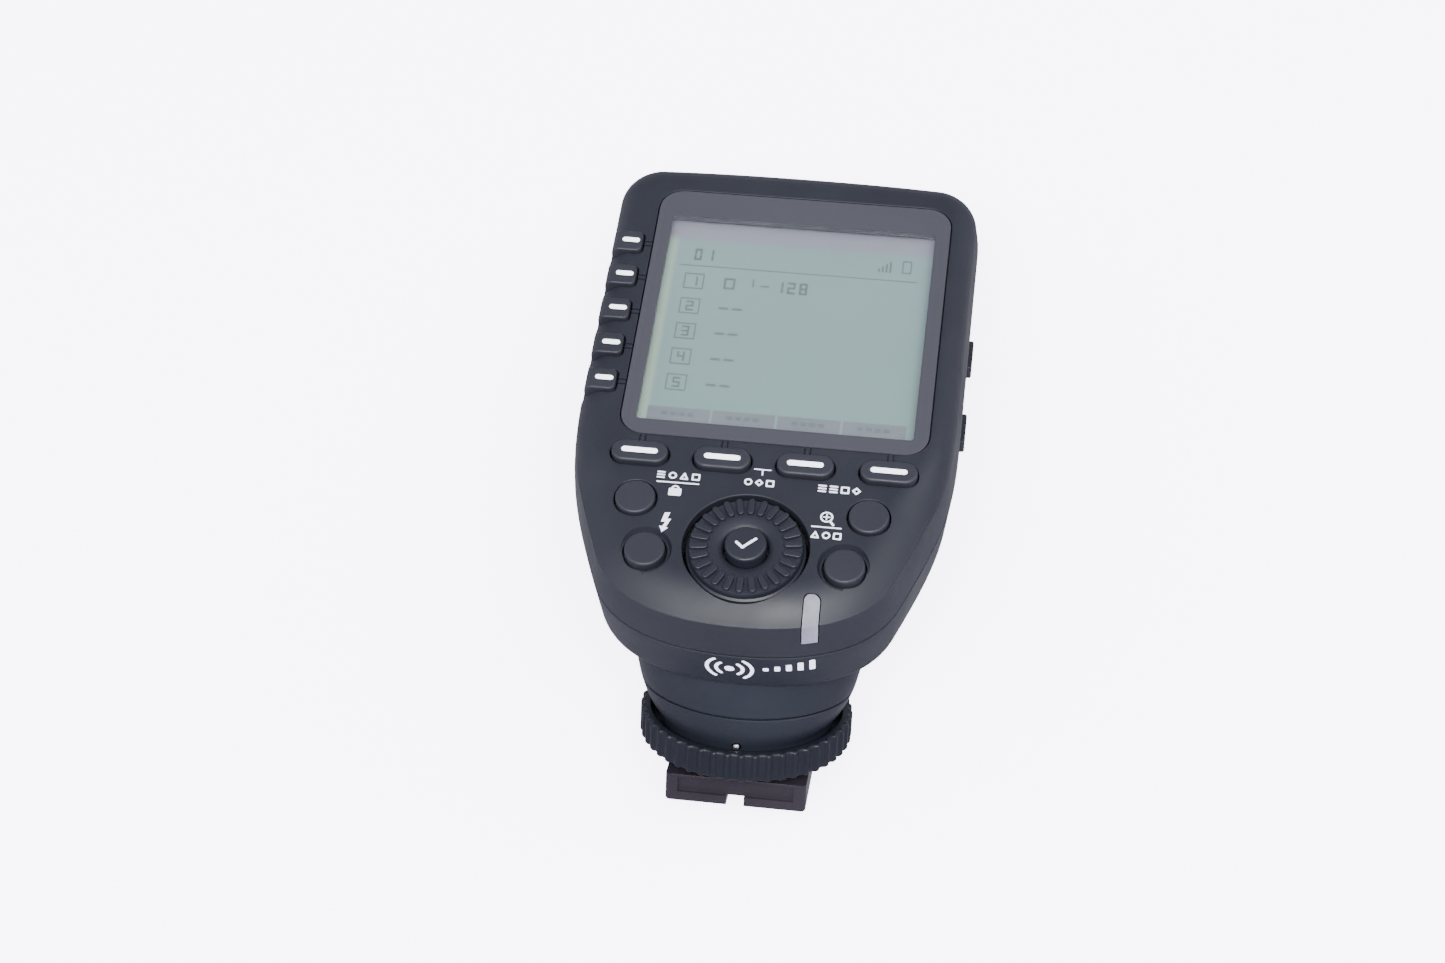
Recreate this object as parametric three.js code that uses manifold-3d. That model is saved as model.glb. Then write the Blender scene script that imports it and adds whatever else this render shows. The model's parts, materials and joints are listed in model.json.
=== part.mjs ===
// Wireless flash trigger for a camera's accessory shoe, as separate solids that move as the real ones do.
// Units are millimetres.
//
// Panel frame: origin at the middle of the dial on the face, x to the right, y up the panel towards the top
// of the screen, z out of the face. The casing and everything on it are drawn in this frame.
// Shoe frame: origin at the middle of the locking ring's upper side, z towards the body, y towards the front
// of the camera. The neck, ring and foot are drawn in this frame.
// The finished trigger lies on its back, with the casing's top end and the foot's cap on the ground at z = 0.

import * as THREE from 'three';
import { mergeVertices } from 'three/addons/utils/BufferGeometryUtils.js';
import Module from 'manifold-3d';

const wasm = await Module();
wasm.setup();

// Casing.
const HALF_WIDTH = 29.5;
const TOP_Y = 76.2;
const TOP_BOW = 0.5;
const TOP_CORNER = 7.5;
const SHOULDER_Y = 28;
const CHIN_Y = -12.95;
const HIP = [22.9, -2.1];
const WALL = 1.6;
const PARTING_Z = -9.5;
const PARTING_GAP = 0.3;
const BACK_Z = -19.5;
const EDGE_ROLL = 4.4;
const CREASE_Z = -3;
const CREASE_INSET = 0.8;
const CHIN_ROLL = 6.5;
const CHIN_BLEND = [6, 22];

// Battery housing on the back.
const HUMP_HALF = 22.5;
const HUMP_BOTTOM = 15;
const HUMP_TOP = 73.5;
const HUMP_BACK = -28.6;
const BAY_HALF = 18;
const BAY_WIDE_HALF = 20.6;
const BAY_WIDE_BACK = -26;
const BAY_BOTTOM = 17.2;
const BAY_TOP = 72;
const DOOR_HALF = 18.9;
const DOOR_FRONT = -26.9;
const DOOR_BACK = -28.4;
const DOOR_TONGUE = 1;
const DOOR_TONGUE_BACK = -27.7;
const DOOR_BOTTOM = 17.3;
const GRIP = { grooves: 6, first: 22, pitch: 1.8, width: 0.8, half: 7, depth: 0.5 };
const CELL_RADIUS = 7.1;
const CELL_LENGTH = 49.2;
const CELL_Z = -19.2;
const CELL_X = 7.55;
const CELL_BOTTOM = 20.9;
const TRAY_INSIDE = [18.3, 70.9];
const SPRING_COILS = 4;

// Screen.
const LENS = { x: 1.55, y: 44, width: 46.9, height: 49.6, corner: 3.8, thick: 1.05 };
const GLASS = { x: 1.58, y: 42.7, width: 44, height: 43 };
const WINDOW = { width: 43, height: 43, corner: 1, rise: 0.3 };
const FIT = 0.25;

// Keys.
const KEY_TRAVEL = 0.7;
const FLANGE_Z = -2.3;
const FLANGE_THICK = 0.7;
const SOFT_KEY = { y: 15.3, x: 0.83, pitch: 12.5, width: 8.6, height: 3.9, top: 0.9 };
const GROUP_KEY = { right: -23.55, top: 56.9, pitch: 7.05, height: 4, count: 5, corner: 0.9, floor: -3.2 };
const GROUP_KEY_CROWN = [[-27, 0.6], [-27.6, 0.48], [-28.05, 0.15], [-28.3, -0.3], [-28.4, -0.9]];
const GROUP_POCKET = { floor: -4.2, corner: 1.1, scoopZ: -3.6, scoopEnd: -28.4, flare: 0.8 };
const ROUND_BUTTON = { radius: 3, hole: 3.3, flange: 3.75, well: 4.1, recess: 3.9 };
const ROUND_BUTTONS = {
  mode_button: { x: -17.4, y: 7.1, top: 0.5 },
  flash_button: { x: -14.7, y: -2, top: 0.35 },
  menu_button: { x: 17.4, y: 7.1, top: 0.5 },
  zoom_button: { x: 14.7, y: -2, top: 0.35 },
};
const RECESSED_BUTTONS = ['flash_button', 'zoom_button'];

// Dial.
const DIAL = { hole: 9.375, radius: 8.6, bore: 3.4, ribs: 26, top: 0.6, bottom: -2.6 };
const SET_RADIUS = 3.1;

// Status lamp.
const LAMP = { x: 10.6, width: 2.35, top: -6.9, bottomZ: -6.5, length: 12 };

// Slide switches on the right side.
const SWITCH_Z = -15;
const SWITCH_TRAVEL = 2.5;
const SWITCHES = { power_switch: 50.7, assist_switch: 35.75 };

// Sockets on the left side.
const USB = { y: 50, z: -14.6, width: 8.9, height: 3.2 };
const SYNC = { y: 36, z: -14.6, radius: 3 };

// Shoe.
const SHOE_ORIGIN = [0, -5, -35.5];
const SHOE_LEAN = THREE.MathUtils.degToRad(30);
const NECK_SPLIT = 5;
const RING = { radius: 16.5, thick: 4.8, cup: 14.9, cupFloor: -3, bore: 5.6, ribs: 48 };
const WASHER = { radius: 9.2, top: -4.95, bottom: -5.45 };
const STEM_RADIUS = 5;
const FOOT = { width: 18.6, length: 20, top: -7.85, bottom: -9.65 };
const CAP = { width: 21.7, rear: -12.3, front: 10.6, bottom: -11.2, lipTop: -6.6, wall: 1.2 };
const CAP_SLOT = { width: 2.7, depth: 4.6, height: 1.6 };
const CAP_PANEL = { half: 8.9, depth: 0.5, top: -7.1 };
const ASSIST_LENS = { half: 5.5, back: 10.9, front: 12.75, low: 7, high: 11 };
const CONTACTS = [[0, 0], [-3.6, -4.6], [0, -4.6], [3.6, -4.6], [-3.6, 3.2]];
const FOOT_SCREWS = [[-7.2, -7.6], [7.2, -7.6]];

// Screws that hold the two halves of the casing together, and the posts that they run in.
const CASE_SCREWS = [[-25, 70], [25, 70], [-25.8, 18.6], [25.8, 18.6]];
const POST = { radius: 2, bore: 1.2, counterbore: 1.95, clearance: 2.4 };

// ---------------------------------------------------------------- solids

// A closed geometry as a solid, with its faces turned outwards.
function solid(geometry) {
  geometry.deleteAttribute('normal');
  geometry.deleteAttribute('uv');
  const merged = mergeVertices(geometry, 1e-4);
  const place = merged.attributes.position;
  const corner = (index) => new THREE.Vector3().fromBufferAttribute(place, index);
  const faces = [];
  let volume = 0;
  for (let i = 0; i < merged.index.count; i += 3) {
    const face = [0, 1, 2].map((k) => merged.index.getX(i + k));
    if (new Set(face).size < 3) continue;
    const [a, b, c] = face.map(corner);
    volume += a.dot(b.cross(c));
    faces.push(face);
  }
  const outward = volume > 0 ? faces : faces.map((face) => face.reverse());
  return new wasm.Manifold(new wasm.Mesh({
    numProp: 3,
    vertProperties: new Float32Array(place.array),
    triVerts: new Uint32Array(outward.flat()),
  }));
}

function geometryOf(manifold) {
  const mesh = manifold.getMesh();
  const geometry = new THREE.BufferGeometry();
  geometry.setAttribute('position', new THREE.BufferAttribute(mesh.vertProperties, 3));
  geometry.setIndex(new THREE.BufferAttribute(mesh.triVerts, 1));
  geometry.computeVertexNormals();
  return geometry;
}

const joined = (solids) => solids.reduce((sum, next) => sum.add(next));

function block(x, y, z) {
  const geometry = new THREE.BoxGeometry(x[1] - x[0], y[1] - y[0], z[1] - z[0]);
  geometry.translate((x[0] + x[1]) / 2, (y[0] + y[1]) / 2, (z[0] + z[1]) / 2);
  return solid(geometry);
}

// A disc or rod between two heights, along z unless another axis is named.
function rod(radius, from, to, centre, { axis = 'z', sides = 20 } = {}) {
  const geometry = new THREE.CylinderGeometry(radius, radius, to - from, sides);
  geometry.translate(0, (from + to) / 2, 0);
  if (axis === 'z') geometry.rotateX(Math.PI / 2).translate(centre[0], centre[1], 0);
  if (axis === 'x') geometry.rotateZ(-Math.PI / 2).translate(0, centre[0], centre[1]);
  if (axis === 'y') geometry.translate(centre[0], 0, centre[1]);
  return solid(geometry);
}

function turned(profile, centre = [0, 0], sides = 40) {
  const points = profile.map(([radius, height]) => new THREE.Vector2(radius, height));
  const geometry = new THREE.LatheGeometry(points, sides);
  geometry.rotateX(Math.PI / 2).translate(centre[0], centre[1], 0);
  return solid(geometry);
}

function roundedRectangle(width, height, radius, x = 0, y = 0) {
  const [left, right, low, high] = [x - width / 2, x + width / 2, y - height / 2, y + height / 2];
  const quarter = Math.PI / 2;
  const shape = new THREE.Shape();
  shape.moveTo(left + radius, low);
  shape.lineTo(right - radius, low);
  shape.absarc(right - radius, low + radius, radius, -quarter, 0);
  shape.lineTo(right, high - radius);
  shape.absarc(right - radius, high - radius, radius, 0, quarter);
  shape.lineTo(left + radius, high);
  shape.absarc(left + radius, high - radius, radius, quarter, 2 * quarter);
  shape.lineTo(left, low + radius);
  shape.absarc(left + radius, low + radius, radius, 2 * quarter, 3 * quarter);
  return shape;
}

function obround(width, height, x, y) {
  const radius = height / 2;
  const reach = width / 2 - radius;
  const quarter = Math.PI / 2;
  const shape = new THREE.Shape();
  shape.moveTo(x - reach, y - radius);
  shape.lineTo(x + reach, y - radius);
  shape.absarc(x + reach, y, radius, -quarter, quarter);
  shape.lineTo(x - reach, y + radius);
  shape.absarc(x - reach, y, radius, quarter, 3 * quarter);
  return shape;
}

function plate(shape, from, to, { bevel = 0, steps = 2, curveSegments = 4 } = {}) {
  const geometry = new THREE.ExtrudeGeometry(shape, {
    depth: to - from - 2 * bevel,
    bevelEnabled: bevel > 0,
    bevelThickness: bevel,
    bevelSize: bevel,
    bevelOffset: -bevel,
    bevelSegments: steps,
    curveSegments,
  });
  geometry.translate(0, 0, from + bevel);
  return solid(geometry);
}

// A solid through rings of points, lowest ring first, each ring counter-clockwise seen from above.
function loft(rings) {
  const count = rings[0].length;
  const cap = THREE.ShapeUtils.triangulateShape(rings[0].map((p) => new THREE.Vector2(p.x, p.y)), []);
  const last = (rings.length - 1) * count;
  const triangles = [];
  for (const [a, b, c] of cap) {
    triangles.push(a, c, b);
    triangles.push(last + a, last + b, last + c);
  }
  for (let level = 0; level + 1 < rings.length; level += 1) {
    for (let j = 0; j < count; j += 1) {
      const low = level * count;
      const next = (j + 1) % count;
      triangles.push(low + j, low + next, low + count + next);
      triangles.push(low + j, low + count + next, low + count + j);
    }
  }
  const geometry = new THREE.BufferGeometry().setFromPoints(rings.flat());
  geometry.setIndex(triangles);
  return solid(geometry);
}

// ---------------------------------------------------------------- casing outline

// Points and outward normals round the casing at the parting line, counter-clockwise from the chin.
function casingOutline() {
  const at = (x, y) => new THREE.Vector2(x, y);
  const cornerY = TOP_Y - TOP_BOW - TOP_CORNER;
  const cornerX = HALF_WIDTH - TOP_CORNER;
  const topEnd = TOP_Y - TOP_BOW;
  const hip = at(...HIP);
  const pieces = [
    [new THREE.CubicBezierCurve(at(0, CHIN_Y), at(12, CHIN_Y), at(19.9, -9.5), hip), 6],
    [new THREE.CubicBezierCurve(hip, at(28.45, 11.85), at(HALF_WIDTH, 17), at(HALF_WIDTH, SHOULDER_Y)), 4],
    [new THREE.LineCurve(at(HALF_WIDTH, SHOULDER_Y), at(HALF_WIDTH, cornerY)), 1],
    [new THREE.EllipseCurve(cornerX, cornerY, TOP_CORNER, TOP_CORNER, 0, Math.PI / 2), 4],
    [new THREE.QuadraticBezierCurve(at(cornerX, topEnd), at(cornerX / 2, TOP_Y), at(0, TOP_Y)), 2],
  ];
  const right = [];
  for (const [curve, steps] of pieces) {
    for (let i = 0; i < steps; i += 1) {
      const point = curve.getPoint(i / steps);
      const tangent = curve.getTangent(i / steps);
      right.push({ x: point.x, y: point.y, nx: tangent.y, ny: -tangent.x });
    }
  }
  const left = right.slice(1).reverse().map((p) => ({ x: -p.x, y: p.y, nx: -p.nx, ny: p.ny }));
  return [...right, { x: 0, y: TOP_Y, nx: 0, ny: 1 }, ...left];
}

const OUTLINE = casingOutline();

// One ring round the casing: inset and height may change with y.
function casingRing(insetAt, heightAt) {
  return OUTLINE.map((p) => new THREE.Vector3(
    p.x - p.nx * insetAt(p.y),
    p.y - p.ny * insetAt(p.y),
    heightAt(p.y),
  ));
}

// 0 along the straight sides and top, 1 round the chin.
const chinShare = (y) => 1 - THREE.MathUtils.smoothstep(y, ...CHIN_BLEND);

// Front half: a wall with a rolled edge, and round the chin a crease with a wider roll above it.
function frontRings({ start = PARTING_Z, wall = 0, steps = 4 } = {}) {
  const insetOf = (side, chin) => (y) => THREE.MathUtils.lerp(side, chin, chinShare(y)) + wall;
  const heightOf = (side, chin) => (y) => THREE.MathUtils.lerp(side, chin, chinShare(y)) - wall;
  const rings = [casingRing(insetOf(0, 0), () => start)];
  rings.push(casingRing(insetOf(0.5, CREASE_INSET), heightOf(-EDGE_ROLL, CREASE_Z)));
  for (let i = 1; i <= steps; i += 1) {
    const angle = (i / steps) * Math.PI / 2;
    const rest = 1 - i / steps;
    const side = [0.5 + EDGE_ROLL * (1 - Math.cos(angle)), EDGE_ROLL * (Math.sin(angle) - 1)];
    const chin = [CREASE_INSET + CHIN_ROLL * (1 - rest), CREASE_Z * rest ** 1.8];
    rings.push(casingRing(insetOf(side[0], chin[0]), heightOf(side[1], chin[1])));
  }
  return rings;
}

// Rear half: a wall that draws in a little and a rounded edge to the back.
function rearRings(wall = 0) {
  const levels = wall ? [[2.2, BACK_Z], [1.2, BACK_Z + 0.5], [0.85, BACK_Z + 1.3]] : [
    [2.2, BACK_Z], [1.5, BACK_Z + 0.2], [1, BACK_Z + 0.7], [0.8, BACK_Z + 1.4],
  ];
  const top = PARTING_Z - PARTING_GAP + (wall ? 1 : 0);
  const rings = levels.map(([inset, z]) => casingRing(() => inset + wall, () => z + wall));
  return [...rings, casingRing(() => wall, () => top)];
}

// ---------------------------------------------------------------- shoe outline

const SHOE_MATRIX = new THREE.Matrix4()
  .makeRotationX(-SHOE_LEAN)
  .setPosition(...SHOE_ORIGIN);

// The neck flares from a round collar inside the ring to the casing: height, half width, rear and front.
const NECK_LEVELS = [
  [-2, 13.4, 13.4, 13.4],
  [-0.4, 13.6, 13.6, 13.6],
  [0.3, 14.1, 13.9, 13.9],
  [1.5, 15, 14.2, 13.9],
  [3.2, 15.9, 14.3, 13.7],
  [5, 16.6, 14.3, 13.3],
  [7, 17.1, 14.2, 12.9],
  [10, 17.7, 14, 12.6],
  [26, 19.5, 14.5, 12.5],
];

function neckSolid(from, to, wall = 0) {
  const inside = NECK_LEVELS.filter(([height]) => height > from + 0.01 && height < to - 0.01);
  const levels = [levelAt(from), ...inside, levelAt(to)];
  return loft(levels.map((level) => neckRing(level, wall)));
}

function levelAt(height) {
  const above = NECK_LEVELS.findIndex((level) => level[0] >= height);
  const [low, high] = [NECK_LEVELS[Math.max(above - 1, 0)], NECK_LEVELS[above]];
  const share = high === low ? 0 : (height - low[0]) / (high[0] - low[0]);
  return low.map((value, i) => THREE.MathUtils.lerp(value, high[i], share));
}

function neckRing([height, half, rear, front], wall) {
  const sides = 32;
  return Array.from({ length: sides }, (_, i) => {
    const angle = (i / sides) * 2 * Math.PI;
    const reach = (Math.sin(angle) < 0 ? rear : front) - wall;
    return new THREE.Vector3((half - wall) * Math.cos(angle), reach * Math.sin(angle), height);
  });
}

const toPanel = (manifold) => solid(geometryOf(manifold).applyMatrix4(SHOE_MATRIX));

// ---------------------------------------------------------------- front half of the casing

function groupKeyY(index) {
  return GROUP_KEY.top - GROUP_KEY.pitch * index;
}

function softKeyX(index) {
  return SOFT_KEY.x + SOFT_KEY.pitch * (index - 1.5);
}

function lampShape(clearance) {
  const y = LAMP.top + clearance - LAMP.length / 2;
  return roundedRectangle(LAMP.width + 2 * clearance, LAMP.length, 1, LAMP.x, y);
}

// Posts inside the casing, one round each of its screws.
function posts(radius, from, to) {
  return joined(CASE_SCREWS.map((centre) => rod(radius, from, to, centre, { sides: 14 })));
}

const bores = (radius, from, to) => CASE_SCREWS.map((centre) => rod(radius, from, to, centre, { sides: 12 }));

function frontShell() {
  const outer = loft(frontRings());
  const inner = loft(frontRings({ wall: WALL, start: PARTING_Z - 3, steps: 3 }));
  let shell = outer.subtract(inner).add(posts(POST.radius, PARTING_Z, -WALL).intersect(outer));
  const [width, height, corner] = [LENS.width + 2 * FIT, LENS.height + 2 * FIT, LENS.corner + FIT];
  const lensCut = roundedRectangle(width, height, corner, LENS.x, LENS.y);
  const window = roundedRectangle(WINDOW.width, WINDOW.height, WINDOW.corner, GLASS.x, GLASS.y + WINDOW.rise);
  const cuts = [
    plate(lensCut, -LENS.thick - FIT, 2),
    plate(window, -4, 2),
    rod(DIAL.hole, -5, 3, [0, 0], { sides: 32 }),
    plate(lampShape(FIT), LAMP.bottomZ - FIT, 3),
    ...bores(POST.bore, PARTING_Z - 1, PARTING_Z + 5),
  ];
  for (let i = 0; i < 4; i += 1) {
    cuts.push(plate(obround(SOFT_KEY.width + 0.6, SOFT_KEY.height + 0.5, softKeyX(i), SOFT_KEY.y), -5, 2));
    cuts.push(plate(obround(SOFT_KEY.width + 2, SOFT_KEY.height + 1.8, softKeyX(i), SOFT_KEY.y), -8, -2));
    cuts.push(block([softKeyX(i) - 0.15, softKeyX(i) + 0.15], [17.4, 19.1], [-0.3, 1]));
  }
  for (let i = 0; i < GROUP_KEY.count; i += 1) {
    cuts.push(groupPocket(groupKeyY(i)));
    cuts.push(block([-23.4, LENS.x - LENS.width / 2], [groupKeyY(i) - 0.12, groupKeyY(i) + 0.12], [-0.3, 1]));
  }
  for (const [name, { x, y }] of Object.entries(ROUND_BUTTONS)) {
    cuts.push(rod(ROUND_BUTTON.hole, -5, 2, [x, y], { sides: 20 }));
    cuts.push(rod(ROUND_BUTTON.well, -8, -2, [x, y], { sides: 16 }));
    if (RECESSED_BUTTONS.includes(name)) cuts.push(rod(ROUND_BUTTON.recess, -0.5, 2, [x, y], { sides: 20 }));
  }
  for (const cut of cuts) shell = shell.subtract(cut);
  return shell;
}

// A pocket for a group key: open through the rolled edge, with a scoop that widens out through the side.
function groupPocket(y) {
  const half = GROUP_KEY.height / 2 + 0.3;
  const right = GROUP_KEY.right + 0.3;
  const { floor, corner, scoopZ, scoopEnd, flare } = GROUP_POCKET;
  const pocket = plate(roundedRectangle(12, 2 * half, corner, right - 6, y), floor, 3);
  const length = 3;
  const scoop = new THREE.CylinderGeometry(half, half + flare * length, length, 16);
  scoop.rotateZ(-Math.PI / 2).translate(scoopEnd - length / 2, y, scoopZ);
  return pocket.add(solid(scoop));
}

// A strip of the casing's own wall, in clear plastic, from the face over the edge and down the side.
function statusLamp() {
  const inner = loft(frontRings({ wall: WALL, start: PARTING_Z - 3, steps: 3 }));
  return loft(frontRings()).subtract(inner).intersect(plate(lampShape(0), LAMP.bottomZ, 3));
}

// ---------------------------------------------------------------- rear half of the casing

const humpShape = (shrink) => roundedRectangle(
  2 * (HUMP_HALF - shrink), HUMP_TOP - HUMP_BOTTOM - 2 * shrink, 5 - shrink, 0, (HUMP_TOP + HUMP_BOTTOM) / 2,
);

const humpSolid = () => plate(humpShape(0), HUMP_BACK, BACK_Z + 4, { bevel: 2.2, steps: 2 });

function doorRecess() {
  const span = [HUMP_BOTTOM + 2, HUMP_TOP + 5];
  const mouth = block([-DOOR_HALF - 0.3, DOOR_HALF + 0.3], span, [HUMP_BACK - 2, DOOR_FRONT + 0.3]);
  const reach = DOOR_HALF + DOOR_TONGUE + 0.3;
  const groove = block([-reach, reach], span, [DOOR_TONGUE_BACK - 0.3, DOOR_FRONT + 0.3]);
  return mouth.add(groove);
}

function rearShell() {
  const behind = block([-40, 40], [-40, 40], [-60, BACK_Z + 0.6]);
  const neck = toPanel(neckSolid(NECK_SPLIT + PARTING_GAP / 2, 26)).intersect(behind);
  const below = block([-40, 40], [-40, BAY_BOTTOM - 2], [-60, PARTING_Z]);
  const hollow = toPanel(neckSolid(NECK_SPLIT - 1, 24, WALL)).intersect(below);
  const outer = loft(rearRings());
  const bay = block([-BAY_HALF, BAY_HALF], [BAY_BOTTOM, BAY_TOP], [HUMP_BACK - 2, PARTING_Z]);
  const bayMouth = block([-BAY_WIDE_HALF, BAY_WIDE_HALF], [BAY_BOTTOM, BAY_TOP], [BAY_WIDE_BACK, PARTING_Z]);
  const hollows = [loft(rearRings(WALL)), bay, bayMouth, doorRecess(), hollow];
  let shell = outer.add(humpSolid()).add(neck);
  for (const space of hollows) shell = shell.subtract(space);
  shell = shell.add(posts(POST.radius, BACK_Z + 1, PARTING_Z - PARTING_GAP).intersect(outer));
  const cuts = [
    usbPrism(USB.width + 0.6, USB.height + 0.6, -HALF_WIDTH - 1, -HALF_WIDTH + 5),
    rod(SYNC.radius + FIT, -HALF_WIDTH - 1, -HALF_WIDTH + 5, [SYNC.y, SYNC.z], { axis: 'x' }),
    ...bores(POST.bore, BACK_Z - 1, PARTING_Z),
    ...bores(POST.counterbore, BACK_Z - 1, BACK_Z + 1.3),
    toPanel(assistLens(FIT)),
  ];
  for (const y of Object.values(SWITCHES)) {
    const slot = [y - SWITCH_TRAVEL - 1.5, y + 1.5];
    cuts.push(block([HALF_WIDTH - 4, HALF_WIDTH + 2], slot, [SWITCH_Z - 1.1, SWITCH_Z + 1.1]));
  }
  for (const cut of cuts) shell = shell.subtract(cut);
  return shell;
}

function usbPrism(width, height, from, to) {
  const geometry = geometryOf(plate(obround(width, height, 0, 0), from, to));
  geometry.rotateZ(Math.PI / 2).rotateY(Math.PI / 2).translate(0, USB.y, USB.z);
  return solid(geometry);
}

// Drawn in the shoe frame. Its opening in the neck is this block grown on all sides.
function assistLens(grow) {
  const { half, back, front, low, high } = ASSIST_LENS;
  return block([-half - grow, half + grow], [back - 4 * grow, front + 8 * grow], [low - grow, high + grow]);
}

function usbSocket() {
  const shell = usbPrism(USB.width, USB.height, -28.3, -21.5);
  const mouth = usbPrism(USB.width - 0.6, USB.height - 0.6, -29, -22.4);
  const tongue = block([-27.6, -22], [USB.y - 3.3, USB.y + 3.3], [USB.z - 0.35, USB.z + 0.35]);
  return shell.subtract(mouth).add(tongue);
}

function syncSocket() {
  const body = rod(SYNC.radius, -28.3, -20.5, [SYNC.y, SYNC.z], { axis: 'x' });
  return body.subtract(rod(1.3, -30, -21.5, [SYNC.y, SYNC.z], { axis: 'x', sides: 16 }));
}

function batteryDoor() {
  const span = [DOOR_BOTTOM, HUMP_TOP];
  const panel = block([-DOOR_HALF, DOOR_HALF], span, [DOOR_BACK, DOOR_FRONT]);
  const reach = DOOR_HALF + DOOR_TONGUE;
  const tongues = block([-reach, reach], span, [DOOR_TONGUE_BACK, DOOR_FRONT]);
  let door = panel.add(tongues).intersect(humpSolid());
  for (let i = 0; i < GRIP.grooves; i += 1) {
    const y = GRIP.first + GRIP.pitch * i;
    const depth = [DOOR_BACK - 1, DOOR_BACK + GRIP.depth];
    door = door.subtract(block([-GRIP.half, GRIP.half], [y, y + GRIP.width], depth));
  }
  return door;
}

// ---------------------------------------------------------------- screen and electronics

const lensPlate = () => plate(
  roundedRectangle(LENS.width, LENS.height, LENS.corner, LENS.x, LENS.y), -LENS.thick, 0,
);

function glassSlab(grow, from, to) {
  return block(
    [GLASS.x - GLASS.width / 2 - grow, GLASS.x + GLASS.width / 2 + grow],
    [GLASS.y - GLASS.height / 2 - grow, GLASS.y + GLASS.height / 2 + grow],
    [from, to],
  );
}

// Flat plate with the casing's outline, drawn in from it.
function outlinePlate(inset, from, to) {
  const rings = [from, to].map((z) => casingRing(() => inset, () => z));
  return loft(rings);
}

function mainBoard() {
  return outlinePlate(2.6, -9.2, -7.9).subtract(posts(POST.clearance, -12, -5));
}

function keymat() {
  const [low, high] = [-5.1, -4.3];
  const lower = outlinePlate(7, low, high).intersect(block([-30, 30], [-12, 18.6], [low - 1, 0]));
  const side = block([-24.6, -22.6], [15, 60], [low, high]);
  const bridge = block([-23.5, -18], [15, 18.6], [low, high]);
  const whole = joined([lower, side, bridge]);
  return whole.subtract(rod(9.6, low - 1, 0, [0, 0])).subtract(posts(POST.clearance, -12, 0));
}

const encoder = () => block([-6.5, 6.5], [-6.5, 6.5], [-7.6, -3.6])
  .add(rod(4.4, -4, -2.9, [0, 0]))
  .subtract(rod(2.2, -3.6, 0, [0, 0]));

function batteryTray() {
  const [low, high] = TRAY_INSIDE;
  const outer = block([-16.6, 16.6], [low - 0.8, high + 0.8], [-26.2, -10.8]);
  return outer.subtract(block([-15.3, 15.3], TRAY_INSIDE, [-30, -11.8]));
}

const cell = () => turned([
  [0, 0], [CELL_RADIUS, 0], [CELL_RADIUS, CELL_LENGTH - 0.8], [CELL_RADIUS - 0.8, CELL_LENGTH - 0.8],
  [2.8, CELL_LENGTH - 0.8], [2.8, CELL_LENGTH], [0, CELL_LENGTH],
], [0, 0], 20);

// ---------------------------------------------------------------- keys, buttons, dial and switches

function softKey(index) {
  const x = softKeyX(index);
  const cap = plate(obround(SOFT_KEY.width, SOFT_KEY.height, x, SOFT_KEY.y), FLANGE_Z - 0.2, SOFT_KEY.top, {
    bevel: 0.4, steps: 1,
  });
  const flange = obround(SOFT_KEY.width + 1.4, SOFT_KEY.height + 1.2, x, SOFT_KEY.y);
  return cap.add(plate(flange, FLANGE_Z - FLANGE_THICK, FLANGE_Z));
}

// Flat on top, and rounded down over its outer end.
function groupKey(index) {
  const y = groupKeyY(index);
  const top = GROUP_KEY_CROWN[0][1];
  const end = GROUP_KEY_CROWN.at(-1)[0];
  const side = new THREE.Shape();
  side.moveTo(end, GROUP_KEY.floor - 1);
  side.lineTo(0, GROUP_KEY.floor - 1);
  side.lineTo(0, top);
  for (const [x, z] of GROUP_KEY_CROWN) side.lineTo(x, z);
  const crown = geometryOf(plate(side, -GROUP_KEY.height, GROUP_KEY.height));
  crown.rotateX(Math.PI / 2).translate(0, y, 0);
  const outline = roundedRectangle(10, GROUP_KEY.height, GROUP_KEY.corner, GROUP_KEY.right - 5, y);
  const cap = plate(outline, GROUP_KEY.floor, 2);
  const flange = block([-24.8, -22.7], [y - 2.7, y + 2.7], [FLANGE_Z - FLANGE_THICK, FLANGE_Z]);
  return cap.intersect(solid(crown)).add(flange);
}

function roundButton({ x, y, top }) {
  const { radius, flange } = ROUND_BUTTON;
  const low = FLANGE_Z - FLANGE_THICK;
  return turned([
    [0, low], [flange, low], [flange, FLANGE_Z], [radius, FLANGE_Z], [radius, top - 0.3],
    [radius - 0.3, top], [0, top],
  ], [x, y], 20);
}

function dialWheel() {
  const { radius, bore, top, bottom, ribs } = DIAL;
  const profile = [
    [bore, bottom], [radius, bottom], [radius, top - 0.3], [radius - 0.3, top], [radius - 0.7, top],
    [5.9, 0.1], [5.3, 0.25], [bore + 0.3, 0.25], [bore, 0], [bore, bottom],
  ];
  let wheel = turned(profile, [0, 0], 26);
  for (let i = 0; i < ribs; i += 1) {
    const rib = new THREE.BoxGeometry(2.6, 0.8, 1.2);
    rib.translate(7.2, 0, 0).rotateZ((i + 0.5) * 2 * Math.PI / ribs).translate(0, 0, 0.15);
    wheel = wheel.add(solid(rib));
  }
  return wheel;
}

const setButton = () => turned([
  [0, -2.5], [1.6, -2.5], [1.6, -2], [SET_RADIUS, -2], [SET_RADIUS, 0.7], [SET_RADIUS - 0.3, 1], [0, 1],
], [0, 0], 20);

function switchKnob(y) {
  const head = block([29.2, 30.15], [y - 2.9, y + 2.9], [SWITCH_Z - 1.4, SWITCH_Z + 1.4]);
  const stem = block([26.3, 29.5], [y - 1.2, y + 1.2], [SWITCH_Z - 0.8, SWITCH_Z + 0.8]);
  return head.add(stem);
}

const switchBody = (y) => block([22.8, 25.9], [y - 5.5, y + 3], [SWITCH_Z - 1.9, SWITCH_Z + 1.9]);

// ---------------------------------------------------------------- shoe parts, in the shoe frame

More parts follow.
